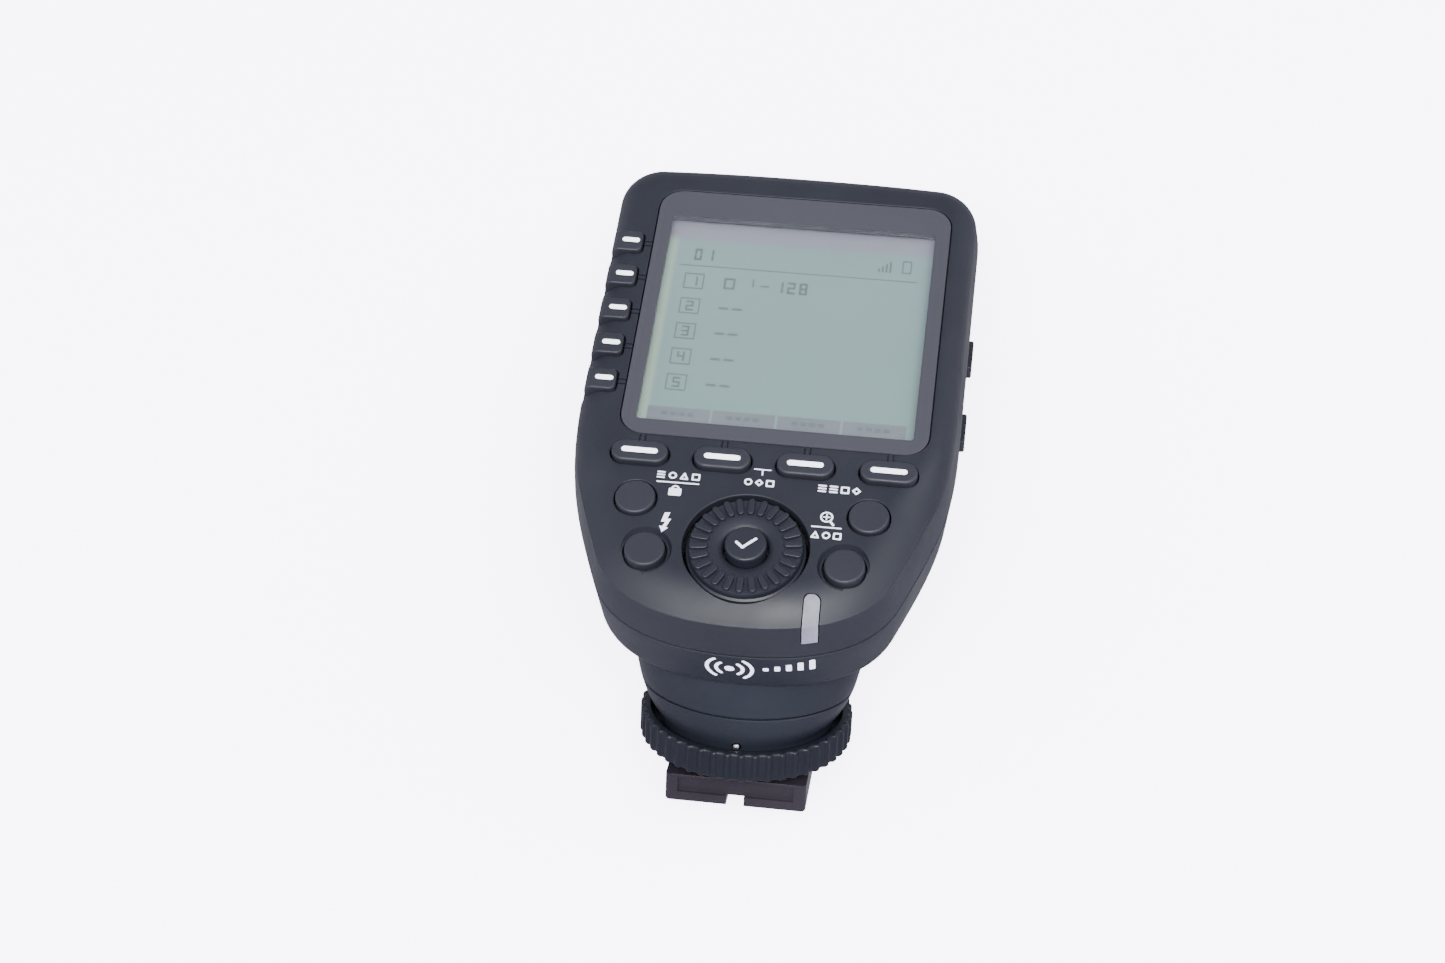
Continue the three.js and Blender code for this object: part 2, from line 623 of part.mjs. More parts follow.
function neckCollar() {
  const outer = neckSolid(-2, NECK_SPLIT - PARTING_GAP / 2);
  const hollow = neckSolid(-0.4, 6, 1.8);
  const stemHole = rod(STEM_RADIUS + FIT, -4, 4, [0, 0], { sides: 28 });
  const pinHole = rod(0.75, -15, -12.6, [0, 0.1], { axis: 'y', sides: 12 });
  return outer.subtract(hollow).subtract(stemHole).subtract(pinHole);
}

function lockingRing() {
  const { radius, thick, cup, cupFloor, bore, ribs } = RING;
  const pitch = 2 * Math.PI / ribs;
  const corners = [[-0.3, radius - 0.4], [-0.1, radius], [0.1, radius], [0.3, radius - 0.4]];
  const outline = [];
  for (let i = 0; i < ribs; i += 1) {
    for (const [share, reach] of corners) {
      const angle = (i + share) * pitch;
      outline.push(new THREE.Vector2(reach * Math.cos(angle), reach * Math.sin(angle)));
    }
  }
  return plate(new THREE.Shape(outline), -thick, 0)
    .subtract(rod(cup, cupFloor, 1, [0, 0], { sides: ribs }))
    .subtract(rod(bore, -thick - 1, 1, [0, 0], { sides: 28 }));
}

function clampWasher() {
  const disc = rod(WASHER.radius, WASHER.bottom, WASHER.top, [0, 0], { sides: 36 });
  return disc.subtract(rod(STEM_RADIUS + 0.3, WASHER.bottom - 1, WASHER.top + 1, [0, 0], { sides: 28 }));
}

function footPlate() {
  const { width, length, top, bottom } = FOOT;
  const flat = plate(roundedRectangle(width, length, 0.8, 0, -0.9), bottom, top);
  const stem = rod(STEM_RADIUS, top - 0.5, 1.2, [0, 0], { sides: 28 });
  const pocket = block([-5.8, 5.8], [-6.2, 5.2], [bottom - 1, bottom + 0.9]);
  const screws = FOOT_SCREWS.map(([x, y]) => rod(1.2, bottom - 1, bottom + 6.3, [x, y], { sides: 12 })
    .add(rod(1.95, bottom - 1, bottom + 1.1, [x, y], { sides: 12 })));
  return flat.add(stem).subtract(pocket).subtract(joined(screws));
}

function contactBlock() {
  let base = block([-5.5, 5.5], [-5.9, 4.9], [FOOT.bottom + 0.1, FOOT.bottom + 0.65]);
  for (const [x, y] of CONTACTS) {
    base = base.subtract(rod(1, FOOT.bottom - 1, FOOT.bottom + 2, [x, y], { sides: 14 }));
  }
  return base;
}

// A tray that slides over the foot from behind: open in front, with lips over the foot's edges, a sunk panel
// on its rear wall and a slot through its floor at the middle of the rear edge.
function footCap() {
  const { width, rear, front, bottom, lipTop, wall } = CAP;
  const half = width / 2;
  const sill = bottom + CAP_SLOT.height;
  const footHalf = FOOT.width / 2 + FIT;
  const cuts = [
    block([-footHalf, footHalf], [rear + wall, front + 2], [bottom + wall, FOOT.top + FIT]),
    block([-7.6, 7.6], [rear + wall, front + 2], [bottom + wall, 0]),
    block([-half, half], [front - 0.9, front + 1], [bottom + wall, lipTop + 1]),
    block([-CAP_PANEL.half, CAP_PANEL.half], [rear - 1, rear + CAP_PANEL.depth], [sill, CAP_PANEL.top]),
    block([-CAP_SLOT.width / 2, CAP_SLOT.width / 2], [rear - 1, rear + CAP_SLOT.depth], [bottom - 1, sill]),
  ];
  let cap = plate(roundedRectangle(width, front - rear, 1, 0, (rear + front) / 2), bottom, lipTop);
  for (const cut of cuts) cap = cap.subtract(cut);
  return cap;
}

const contactPin = (centre) => rod(0.75, FOOT.bottom - 0.1, FOOT.bottom + 0.65, centre, { sides: 12 });

const stopPin = () => rod(0.5, -14.3, -12.9, [0, 0.1], { axis: 'y', sides: 12 });

// ---------------------------------------------------------------- fasteners and other small pieces

// A screw along z, with a cross cut in its head, which is at the low end.
function screw(head, headThick, shank, length, [x, y], base) {
  const body = turned([
    [0, 0], [head, 0], [head, headThick], [shank, headThick], [shank, length], [0, length],
  ], [x, y], 10);
  const slot = (a, b) => block([x - a, x + a], [y - b, y + b], [-1, 0.55]);
  const cut = body.subtract(slot(head * 0.62, 0.22)).subtract(slot(0.22, head * 0.62));
  return solid(geometryOf(cut).translate(0, 0, base));
}

// A conical battery spring, pressed nearly flat: a stepped cone as wide as its coils.
function batterySpring() {
  const rise = 0.45;
  const profile = [[0, 0], [3.2, 0]];
  for (let i = 0; i < SPRING_COILS; i += 1) {
    const radius = 3.2 - rise * i;
    profile.push([radius, rise * (i + 0.7)], [radius - 0.7, rise * (i + 1)]);
  }
  profile.push([0, rise * SPRING_COILS]);
  return turned(profile, [0, 0], 12);
}

// ---------------------------------------------------------------- assembly

const COLOURS = {
  shell: [0x2b2d31, 0.55, 0],
  ring: [0x17191b, 0.5, 0],
  key: [0x26282b, 0.6, 0],
  lens: [0x34323c, 0.12, 0],
  glass: [0x9aa9a8, 0.25, 0],
  lamp: [0xb9b8c6, 0.3, 0],
  board: [0x1f4a33, 0.6, 0],
  metal: [0xb8b9bc, 0.35, 1],
  gold: [0xc9a45a, 0.35, 1],
  cap: [0x2a2424, 0.45, 0],
  white: [0xdcdcd8, 0.5, 0],
  rubber: [0x3a3b3e, 0.85, 0],
  cellSkin: [0x53585c, 0.4, 0.2],
};

function mesh(name, manifold, look) {
  const [color, roughness, metalness] = COLOURS[look];
  const material = new THREE.MeshStandardMaterial({ color, roughness, metalness });
  const made = new THREE.Mesh(geometryOf(manifold), material);
  made.name = name;
  return made;
}

function casingGroup() {
  const group = new THREE.Group();
  group.add(mesh('front_shell', frontShell(), 'shell'));
  group.add(mesh('rear_shell', rearShell(), 'shell'));
  group.add(mesh('status_lamp', statusLamp(), 'lamp'));
  group.add(mesh('battery_door', batteryDoor(), 'shell'));
  group.add(mesh('usb_socket', usbSocket(), 'metal'));
  group.add(mesh('sync_socket', syncSocket(), 'key'));
  CASE_SCREWS.forEach((centre, i) => {
    group.add(mesh(`case_screw_${i + 1}`, screw(1.7, 1, 0.9, 12.5, centre, BACK_Z + 0.2), 'metal'));
  });
  return group;
}

function electronicsGroup() {
  const group = new THREE.Group();
  group.add(mesh('screen_lens', lensPlate(), 'lens'));
  group.add(mesh('lcd_panel', glassSlab(0, -3.8, -2), 'glass'));
  group.add(mesh('backlight_panel', glassSlab(-0.2, -6.4, -4.1), 'white'));
  group.add(mesh('lcd_frame', glassSlab(0.65, -7.5, -2.6).subtract(glassSlab(0.25, -9, 0)), 'key'));
  group.add(mesh('main_board', mainBoard(), 'board'));
  group.add(mesh('rubber_keymat', keymat(), 'rubber'));
  group.add(mesh('dial_encoder', encoder(), 'key'));
  group.add(mesh('radio_module', block([-20, -7], [1, 12], [-11.6, -9.5]), 'metal'));
  group.add(mesh('beeper', rod(4, -12.6, -9.5, [8, 6]), 'key'));
  group.add(mesh('battery_tray', batteryTray(), 'key'));
  const middle = (TRAY_INSIDE[0] + TRAY_INSIDE[1]) / 2;
  for (const [i, side] of [-1, 1].entries()) {
    const place = (made, away) => {
      made.rotation.x = side * Math.PI / 2;
      made.position.set(side * CELL_X, middle + side * away, CELL_Z);
      group.add(made);
    };
    place(mesh(`battery_cell_${i + 1}`, cell(), 'cellSkin'), middle - CELL_BOTTOM);
    place(mesh(`battery_spring_${i + 1}`, batterySpring(), 'metal'), middle - TRAY_INSIDE[0] - 0.3);
  }
  return group;
}

function controlsGroup() {
  const group = new THREE.Group();
  for (let i = 0; i < 4; i += 1) group.add(mesh(`soft_key_${i + 1}`, softKey(i), 'key'));
  for (let i = 0; i < GROUP_KEY.count; i += 1) group.add(mesh(`group_key_${i + 1}`, groupKey(i), 'key'));
  for (const [name, place] of Object.entries(ROUND_BUTTONS)) group.add(mesh(name, roundButton(place), 'key'));
  group.add(mesh('dial_wheel', dialWheel(), 'key'));
  group.add(mesh('set_button', setButton(), 'key'));
  for (const [name, y] of Object.entries(SWITCHES)) {
    group.add(mesh(`${name}_knob`, switchKnob(y), 'key'));
    group.add(mesh(`${name}_body`, switchBody(y), 'key'));
  }
  return group;
}

function shoeGroup() {
  const group = new THREE.Group();
  group.add(mesh('neck_collar', neckCollar(), 'shell'));
  group.add(mesh('locking_ring', lockingRing(), 'ring'));
  group.add(mesh('clamp_washer', clampWasher(), 'metal'));
  group.add(mesh('foot_plate', footPlate(), 'metal'));
  group.add(mesh('contact_block', contactBlock(), 'key'));
  group.add(mesh('foot_cap', footCap(), 'cap'));
  group.add(mesh('assist_lamp_lens', assistLens(0), 'lamp'));
  group.add(mesh('ring_stop_pin', stopPin(), 'metal'));
  CONTACTS.forEach((centre, i) => group.add(mesh(`contact_pin_${i + 1}`, contactPin(centre), 'gold')));
  FOOT_SCREWS.forEach((centre, i) => {
    group.add(mesh(`foot_screw_${i + 1}`, screw(1.7, 0.7, 0.9, 1.4, centre, FOOT.bottom + 0.1), 'metal'));
  });
  group.applyMatrix4(SHOE_MATRIX);
  return group;
}

// Tilts the trigger about x until its two ends rest at the same height, and sets it on the ground.
function layDown(body) {
  const pivot = new THREE.Group();
  pivot.add(body);
  const lowest = (share) => {
    const corner = new THREE.Vector3();
    let low = Infinity;
    pivot.updateMatrixWorld(true);
    pivot.traverse((piece) => {
      if (!piece.isMesh) return;
      for (let i = 0; i < piece.geometry.attributes.position.count; i += 1) {
        corner.fromBufferAttribute(piece.geometry.attributes.position, i).applyMatrix4(piece.matrixWorld);
        if (share(corner)) low = Math.min(low, corner.z);
      }
    });
    return low;
  };
  let [flat, steep] = [0, Math.PI / 4];
  for (let i = 0; i < 24; i += 1) {
    pivot.rotation.x = -(flat + steep) / 2;
    const footIsLower = lowest((corner) => corner.y < 20) < lowest((corner) => corner.y > 20);
    if (footIsLower) flat = -pivot.rotation.x;
    else steep = -pivot.rotation.x;
  }
  const box = new THREE.Box3().setFromObject(pivot, true);
  const middle = box.getCenter(new THREE.Vector3());
  pivot.position.set(-middle.x, -middle.y, -box.min.z);
  return pivot;
}

const panel = new THREE.Group();
panel.add(casingGroup(), electronicsGroup(), controlsGroup(), shoeGroup());

const trigger = layDown(panel);
trigger.updateMatrixWorld(true);

export default trigger;
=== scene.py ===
"""Looks of the wireless flash trigger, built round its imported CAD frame.

Shapes are drawn in millimetres in two frames and then placed in the model's own frame, in metres:
  panel frame: origin at the middle of the dial, x right, y up the panel, z out of the face
  shoe frame:  origin at the middle of the locking ring's upper side, z to the body, y to the camera's front
"""

import json
import math

import bmesh
import bpy
import numpy as np
from mathutils import Matrix, Vector


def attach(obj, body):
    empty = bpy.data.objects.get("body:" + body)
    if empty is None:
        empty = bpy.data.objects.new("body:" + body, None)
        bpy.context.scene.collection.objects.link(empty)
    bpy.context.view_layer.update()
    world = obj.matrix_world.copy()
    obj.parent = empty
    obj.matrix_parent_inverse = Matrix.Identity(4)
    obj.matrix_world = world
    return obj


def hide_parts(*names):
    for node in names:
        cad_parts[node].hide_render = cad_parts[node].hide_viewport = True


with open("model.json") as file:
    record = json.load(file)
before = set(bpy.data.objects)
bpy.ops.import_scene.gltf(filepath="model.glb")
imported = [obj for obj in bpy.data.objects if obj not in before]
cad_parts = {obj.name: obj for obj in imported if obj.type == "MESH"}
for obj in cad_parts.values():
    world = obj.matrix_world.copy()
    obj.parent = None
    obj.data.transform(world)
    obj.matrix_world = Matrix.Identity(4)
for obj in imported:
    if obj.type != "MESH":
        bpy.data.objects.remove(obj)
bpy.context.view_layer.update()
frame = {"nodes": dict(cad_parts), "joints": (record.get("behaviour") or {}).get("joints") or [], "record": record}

MM = 0.001
TAU = 2 * math.pi
NODES = frame["nodes"]

# ---- driving sizes, in millimetres

HALF_WIDTH = 29.5
TOP_Y = 76.2
TOP_BOW = 0.5
TOP_CORNER = 7.5
SHOULDER_Y = 28
CHIN_Y = -12.95
CHIN_HANDLES = ((12, CHIN_Y), (19.9, -9.5))
HIP = (22.9, -2.1)
FLANK_HANDLES = ((28.45, 11.85), (HALF_WIDTH, 17))
WALL = 1.6
PARTING_Z = -9.5
PARTING_GAP = 0.3
BACK_Z = -19.5
BACK_EDGE, BACK_DRAFT = 1.4, 0.8
SKIRT_MIDDLE = (0.35, -13.5)
SIDE_DRAFT = 0.5
EDGE_ROLL = 4.4
CREASE_Z = -3
CREASE_INSET = 0.8
CHIN_ROLL = 6.5
CHIN_BLEND = (6, 22)
SOFTENING = 0.12

HUMP_HALF = 22.5
HUMP_BOTTOM, HUMP_TOP = 15, 73.5
HUMP_BACK = -28.6
HUMP_EDGE = 2.75
DOOR_HALF, DOOR_END = 18.9, 17.3
DOOR_FRONT, DOOR_BACK = -26.9, -28.4

LENS_X, LENS_Y, LENS_WIDTH, LENS_HEIGHT = 1.55, 44, 46.9, 49.6
LENS_CORNER, LENS_THICK, LENS_GAP = 3.8, 1.05, 0.18
VIEW_X, VIEW_Y, VIEW_WIDTH, VIEW_HEIGHT = 1.58, 42.7, 42.15, 41.44
DISPLAY_Z = -2.0
LIST_TOP, LIST_PITCH, LIST_BOX = 13.4, 5.15, 3.2
TAB_WIDTH, TAB_PITCH = 9.6, 10.0

SOFT_KEY_Y, SOFT_KEY_X, SOFT_KEY_PITCH = 15.3, 0.83, 12.5
SOFT_KEY_WIDTH, SOFT_KEY_HEIGHT, SOFT_KEY_TOP = 8.6, 3.9, 0.9
SOFT_BAR_WIDTH, SOFT_BAR_HEIGHT = 5.5, 0.95
GROUP_KEY_RIGHT, GROUP_KEY_TOP, GROUP_KEY_PITCH, GROUP_KEY_HEIGHT = -23.55, 56.9, 7.05, 4.0
GROUP_KEY_TOP_Z, GROUP_KEY_FLOOR = 0.6, -3.2
GROUP_KEY_CROWN = ((-27.1, 0.6), (-28.4, -1.0))
GROUP_BAR_WIDTH, GROUP_BAR_HEIGHT, GROUP_BAR_X = 2.8, 0.9, -25.4
KEY_FLANGE_FLOOR, KEY_FLANGE_TOP = -3, -2.3
TICK_OFFSETS, TICK_HALF, TICK_FLOOR = (-0.42, 0.42), 0.12, -0.4
BUTTON_RADIUS, BUTTON_HOLE, BUTTON_DISH, BUTTON_FLANGE, BUTTON_EDGE = 3.0, 3.3, 3.75, 3.7, 0.4
BUTTONS = {
    "mode_button": (-17.4, 7.1, 0.5),
    "flash_button": (-14.7, -2.0, 0.35),
    "menu_button": (17.4, 7.1, 0.5),
    "zoom_button": (14.7, -2.0, 0.35),
}
RECESSED = ("flash_button", "zoom_button")
DIAL_HOLE, DIAL_FLANGE, DIAL_WALL, DIAL_BORE = 9.375, 8.85, 8.5, 3.4
DIAL_FINS, FIN_LENGTH, FIN_WIDTH, FIN_MIDDLE = 26, 2.8, 1.0, 6.96
SET_RADIUS, SET_STEM = 3.1, 1.6
LAMP_X, LAMP_WIDTH, LAMP_TOP, LAMP_BOTTOM_Z = 10.6, 2.35, -6.9, -6.5
SWITCH_Z, SWITCH_TRAVEL = -15, 2.5
SWITCHES = {"power_switch": 50.7, "assist_switch": 35.75}
SWITCH_DOTS = (55.7, 41.0)
USB_Y, USB_Z, USB_WIDTH, USB_HEIGHT = 50, -14.6, 8.9, 3.2
SYNC_Y, SYNC_Z, SYNC_RADIUS = 36, -14.6, 3.0
CASE_SCREWS = ((-25, 70), (25, 70), (-25.8, 18.6), (25.8, 18.6))
SCREW_HOLE, SCREW_HOLE_DEPTH, SCREW_SUNK, SCREW_SLOT_HALF, SCREW_SLOT_REACH = 1.95, 1.4, 0.3, 0.2, 1.05

SHOE_ORIGIN = Vector((0, -5, -35.5))
SHOE_LEAN = math.radians(30)
NECK_SPLIT = 5
RING_RADIUS, RING_THICK, RING_BORE = 16.5, 4.8, 5.6
RING_CUP, RING_CUP_FLOOR = 14.9, -3
RING_RIBS, RING_FLUTE = 48, 0.4
PIN_RADIUS, PIN_HOLE, PIN_Z = 0.5, 0.75, 0.1
NECK_LEVELS = (
    (-2, 13.4, 13.4, 13.4), (-0.4, 13.6, 13.6, 13.6), (0.3, 14.1, 13.9, 13.9), (1.5, 15, 14.2, 13.9),
    (3.2, 15.9, 14.3, 13.7), (5, 16.6, 14.3, 13.3), (7, 17.1, 14.2, 12.9), (10, 17.7, 14, 12.6),
    (26, 19.5, 14.5, 12.5),
)
CAP_WIDTH, CAP_REAR, CAP_FRONT = 21.7, -12.3, 10.6
CAP_BOTTOM, CAP_LIP_TOP, CAP_WALL, CAP_LIP_HALF = -11.2, -6.6, 1.2, 7.6
CAP_SLOT_WIDTH, CAP_SLOT_DEPTH, CAP_SILL, CAP_PANEL_HALF = 2.7, 4.6, -9.6, 8.9
FOOT_WIDTH, FOOT_TOP, FOOT_GAP = 18.6, -7.85, 0.25
PRINT_FLOOR, PRINT_TOP = -0.1, 0.02

# ---- stage, in metres and watts

FLOOR_HALF = 30
FLOOR_COLOR = (0.85, 0.80, 0.96)
FLOOR_GLOW = 4.8
WORLD_COLOR = (0.93, 0.93, 1.0)
WORLD_GLOW = 0.75
LIGHT_AIM = (0, 0, 0.02)
LIGHTS = (
    ("left_box", (-1.1, -0.1, 1.0), (0.9, 1.2), 12),
    ("right_box", (1.0, 0.4, 1.0), (0.9, 1.1), 15),
    ("overhead", (0.1, -0.4, 1.45), (1.3, 0.6), 92),
)


def panel_placement():
    """The panel frame in the model's frame: the dial's own joint gives its origin and its axis."""
    dial = next(joint for joint in frame["joints"] if joint["name"] == "dial_turn")
    out = Vector(dial["axis"]).normalized()
    right = Vector((1, 0, 0))
    up = out.cross(right)
    placement = Matrix((right, up, out)).transposed().to_4x4()
    placement.translation = Vector(dial["pos_m"])
    return placement @ Matrix.Scale(MM, 4)


PANEL = panel_placement()
SHOE_IN_PANEL = Matrix.Translation(SHOE_ORIGIN) @ Matrix.Rotation(-SHOE_LEAN, 4, "X")
SHOE = PANEL @ SHOE_IN_PANEL

# ---- camera

CAMERA_AIM = Vector((-4.9, 11.4, 0))
CAMERA_DISTANCE = 398.8
CAMERA_AZIMUTH = math.radians(9.58)
CAMERA_ELEVATION = math.radians(53.52)
CAMERA_ROLL = math.radians(-2.81)
CAMERA_LENS = 66.73
CAMERA_SENSOR = 36


def add_camera():
    """Looks at a point on the panel from above the chin; the angles are measured in the panel frame."""
    level = Vector((math.sin(CAMERA_AZIMUTH), -math.cos(CAMERA_AZIMUTH), 0))
    back = math.cos(CAMERA_ELEVATION) * level + math.sin(CAMERA_ELEVATION) * Vector((0, 0, 1))
    right = Vector((-level.y, level.x, 0))
    up = back.cross(right)
    rolled = math.cos(CAMERA_ROLL) * right + math.sin(CAMERA_ROLL) * up
    pose = Matrix((rolled, back.cross(rolled), back)).transposed().to_4x4()
    pose.translation = CAMERA_AIM + CAMERA_DISTANCE * back
    data = bpy.data.cameras.new("camera")
    data.lens = CAMERA_LENS
    data.sensor_width = CAMERA_SENSOR
    data.clip_start = 0.01
    camera = bpy.data.objects.new("camera", data)
    bpy.context.scene.collection.objects.link(camera)
    place = PANEL @ pose
    camera.matrix_world = Matrix.LocRotScale(place.to_translation(), place.to_quaternion(), None)
    bpy.context.scene.camera = camera


add_camera()

# ---- mesh tools


def new_object(points, faces, name="draft"):
    data = bpy.data.meshes.new(name)
    data.from_pydata([tuple(p) for p in points], [], faces)
    data.validate()
    piece = bpy.data.objects.new(name, data)
    bpy.context.scene.collection.objects.link(piece)
    return piece


def loft(rings):
    """A closed solid through rings of points, lowest first, each counter-clockwise seen from above."""
    count = len(rings[0])
    points = [p for ring in rings for p in ring]
    faces = [tuple(range(count))[::-1]]
    for level in range(len(rings) - 1):
        low, high = level * count, (level + 1) * count
        for i in range(count):
            j = (i + 1) % count
            faces.append((low + i, low + j, high + j, high + i))
    faces.append(tuple(range((len(rings) - 1) * count, len(rings) * count)))
    return new_object(points, faces)


def stack(outline, levels):
    """A loft of one flat outline, grown by a different amount at each height: levels are (grow, z)."""
    return loft([[(x, y, z) for x, y in outline(grow)] for grow, z in levels])


def prism(loop, low, high):
    return loft([[(x, y, z) for x, y in loop] for z in (low, high)])


def quarter(steps):
    """Angles from 0 to a right angle."""
    return [(i / steps) * math.pi / 2 for i in range(steps + 1)]


def arc(x, y, radius, start, end, steps):
    return [
        (x + radius * math.cos(a), y + radius * math.sin(a))
        for a in np.linspace(math.radians(start), math.radians(end), steps + 1)
    ]


def rounded_rectangle(width, height, radius, x=0.0, y=0.0, steps=8):
    """Returns a function of grow, for stack()."""
    def outline(grow=0.0):
        half_x, half_y, r = width / 2 + grow, height / 2 + grow, max(radius + grow, 0.02)
        ax, ay = half_x - r, half_y - r
        return (
            arc(x + ax, y - ay, r, -90, 0, steps) + arc(x + ax, y + ay, r, 0, 90, steps)
            + arc(x - ax, y + ay, r, 90, 180, steps) + arc(x - ax, y - ay, r, 180, 270, steps)
        )
    return outline


def obround(width, height, x=0.0, y=0.0, steps=16):
    def outline(grow=0.0):
        r = height / 2 + grow
        reach = (width - height) / 2
        return arc(x + reach, y, r, -90, 90, steps) + arc(x - reach, y, r, 90, 270, steps)
    return outline


def circle(radius, x=0.0, y=0.0, sides=96):
    def outline(grow=0.0):
        r = radius + grow
        angles = [TAU * i / sides for i in range(sides)]
        return [(x + r * math.cos(a), y + r * math.sin(a)) for a in angles]
    return outline


def around(middle, half):
    return (middle - half, middle + half)


def block(x, y, z):
    return prism([(x[0], y[0]), (x[1], y[0]), (x[1], y[1]), (x[0], y[1])], z[0], z[1])


def turned(profile, sides=96, ring_wise=False):
    """A solid of revolution about z. The profile runs from the axis to the axis, or closes on itself."""
    points, faces, rows = [], [], []
    for radius, z in profile:
        start = len(points)
        if radius == 0:
            points.append((0, 0, z))
            rows.append([start] * sides)
        else:
            points += [(x, y, z) for x, y in circle(radius, sides=sides)()]
            rows.append([start + i for i in range(sides)])
    pairs = list(zip(rows, rows[1:]))
    if ring_wise:
        pairs.append((rows[-1], rows[0]))
    for low, high in pairs:
        for i in range(sides):
            j = (i + 1) % sides
            corners = dict.fromkeys((low[i], low[j], high[j], high[i]))  # a point on the axis counts once
            faces.append(tuple(corners))
    return new_object(points, faces)


def apply_modifiers(piece):
    depsgraph = bpy.context.evaluated_depsgraph_get()
    data = bpy.data.meshes.new_from_object(piece.evaluated_get(depsgraph))
    piece.modifiers.clear()
    old = piece.data
    piece.data = data
    bpy.data.meshes.remove(old)
    return piece


def combine(piece, others, operation):
    for other in others:
        step = piece.modifiers.new("combine", "BOOLEAN")
        step.operation = operation
        step.solver = "MANIFOLD"
        step.object = other
        apply_modifiers(piece)
        bpy.data.objects.remove(other)
    return piece


def cut(piece, *others):
    return combine(piece, others, "DIFFERENCE")


def join(piece, *others):
    return combine(piece, others, "UNION")


def keep(piece, *others):
    return combine(piece, others, "INTERSECT")


LAID_DOWN = Matrix.Rotation(math.pi / 2, 4, "X")  # turns z to -y


def moved(piece, matrix):
    piece.data.transform(matrix)
    return piece


def rounded(piece, width, segments=3):
    step = piece.modifiers.new("rounding", "BEVEL")
    step.width = width
    step.segments = segments
    step.limit_method = "ANGLE"
    step.angle_limit = math.radians(35)
    return apply_modifiers(piece)


def finish_piece(piece, name, body, slot, look=None, placement=PANEL, replaces=(), angle=32):
    """Names a drawn piece, places it and lets it ride on its body; its look is the slot's unless given."""
    piece.name = name
    piece.data.name = name
    piece.data.transform(placement)
    clean = bmesh.new()
    clean.from_mesh(piece.data)
    bmesh.ops.remove_doubles(clean, verts=clean.verts, dist=2e-7)
    bmesh.ops.dissolve_degenerate(clean, edges=clean.edges, dist=1e-7)
    bmesh.ops.recalc_face_normals(clean, faces=clean.faces)
    clean.to_mesh(piece.data)
    clean.free()
    piece.data.shade_smooth()
    piece.data.set_sharp_from_angle(angle=math.radians(angle))
    normals = piece.modifiers.new("normals", "WEIGHTED_NORMAL")
    normals.keep_sharp = True
    normals.weight = 80
    piece.data.materials.clear()
    piece.data.materials.append(look or SLOT_LOOKS[slot])
    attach(piece, body)
    if replaces:
        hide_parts(*replaces)
    return piece


# ---- casing outline


def bezier(a, b, c, d, steps):
    """Points of a cubic curve with their outward normals, without the last point."""
    rows = []
    for i in range(steps):
        t = i / steps
        s = 1 - t
        weights = (s ** 3, 3 * s * s * t, 3 * s * t * t, t ** 3)
        x, y = (sum(w * p[k] for w, p in zip(weights, (a, b, c, d))) for k in (0, 1))
        slopes = (3 * s * s, 6 * s * t, 3 * t * t)
        ends = ((a, b), (b, c), (c, d))
        dx, dy = (sum(w * (q[k] - p[k]) for w, (p, q) in zip(slopes, ends)) for k in (0, 1))
        length = math.hypot(dx, dy)
        rows.append((x, y, dy / length, -dx / length))
    return rows


def casing_outline():
    """Points and outward normals round the casing at the parting line, from the chin."""
    corner_x, corner_y = HALF_WIDTH - TOP_CORNER, TOP_Y - TOP_BOW - TOP_CORNER
    right = bezier((0, CHIN_Y), *CHIN_HANDLES, HIP, 44)
    right += bezier(HIP, *FLANK_HANDLES, (HALF_WIDTH, SHOULDER_Y), 24)
    right += [(HALF_WIDTH, y, 1, 0) for y in np.linspace(SHOULDER_Y, corner_y, 17)[:-1]]
    for angle in quarter(18)[:-1]:
        nx, ny = math.cos(angle), math.sin(angle)
        right.append((corner_x + TOP_CORNER * nx, corner_y + TOP_CORNER * ny, nx, ny))
    top_handles = ((2 * corner_x / 3, TOP_Y - 0.1), (corner_x / 3, TOP_Y))
    right += bezier((corner_x, TOP_Y - TOP_BOW), *top_handles, (0, TOP_Y), 12)
    left = [(-x, y, -nx, ny) for x, y, nx, ny in right[1:]][::-1]
    return np.array(right + [(0, TOP_Y, 0, 1)] + left)


OUTLINE = casing_outline()


def smoothstep(value, low, high):
    t = np.clip((value - low) / (high - low), 0, 1)
    return t * t * (3 - 2 * t)


CHIN_SHARE = 1 - smoothstep(OUTLINE[:, 1], *CHIN_BLEND)


def casing_ring(side_inset, side_z, chin_inset=None, chin_z=None):
    """A ring round the casing, from its inset and height along the sides and round the chin."""
    chin_inset = side_inset if chin_inset is None else chin_inset
    chin_z = side_z if chin_z is None else chin_z
    inset = side_inset + (chin_inset - side_inset) * CHIN_SHARE
    height = side_z + (chin_z - side_z) * CHIN_SHARE
    xy = OUTLINE[:, :2] - OUTLINE[:, 2:] * inset[:, None]
    return [(x, y, z) for (x, y), z in zip(xy, height)]


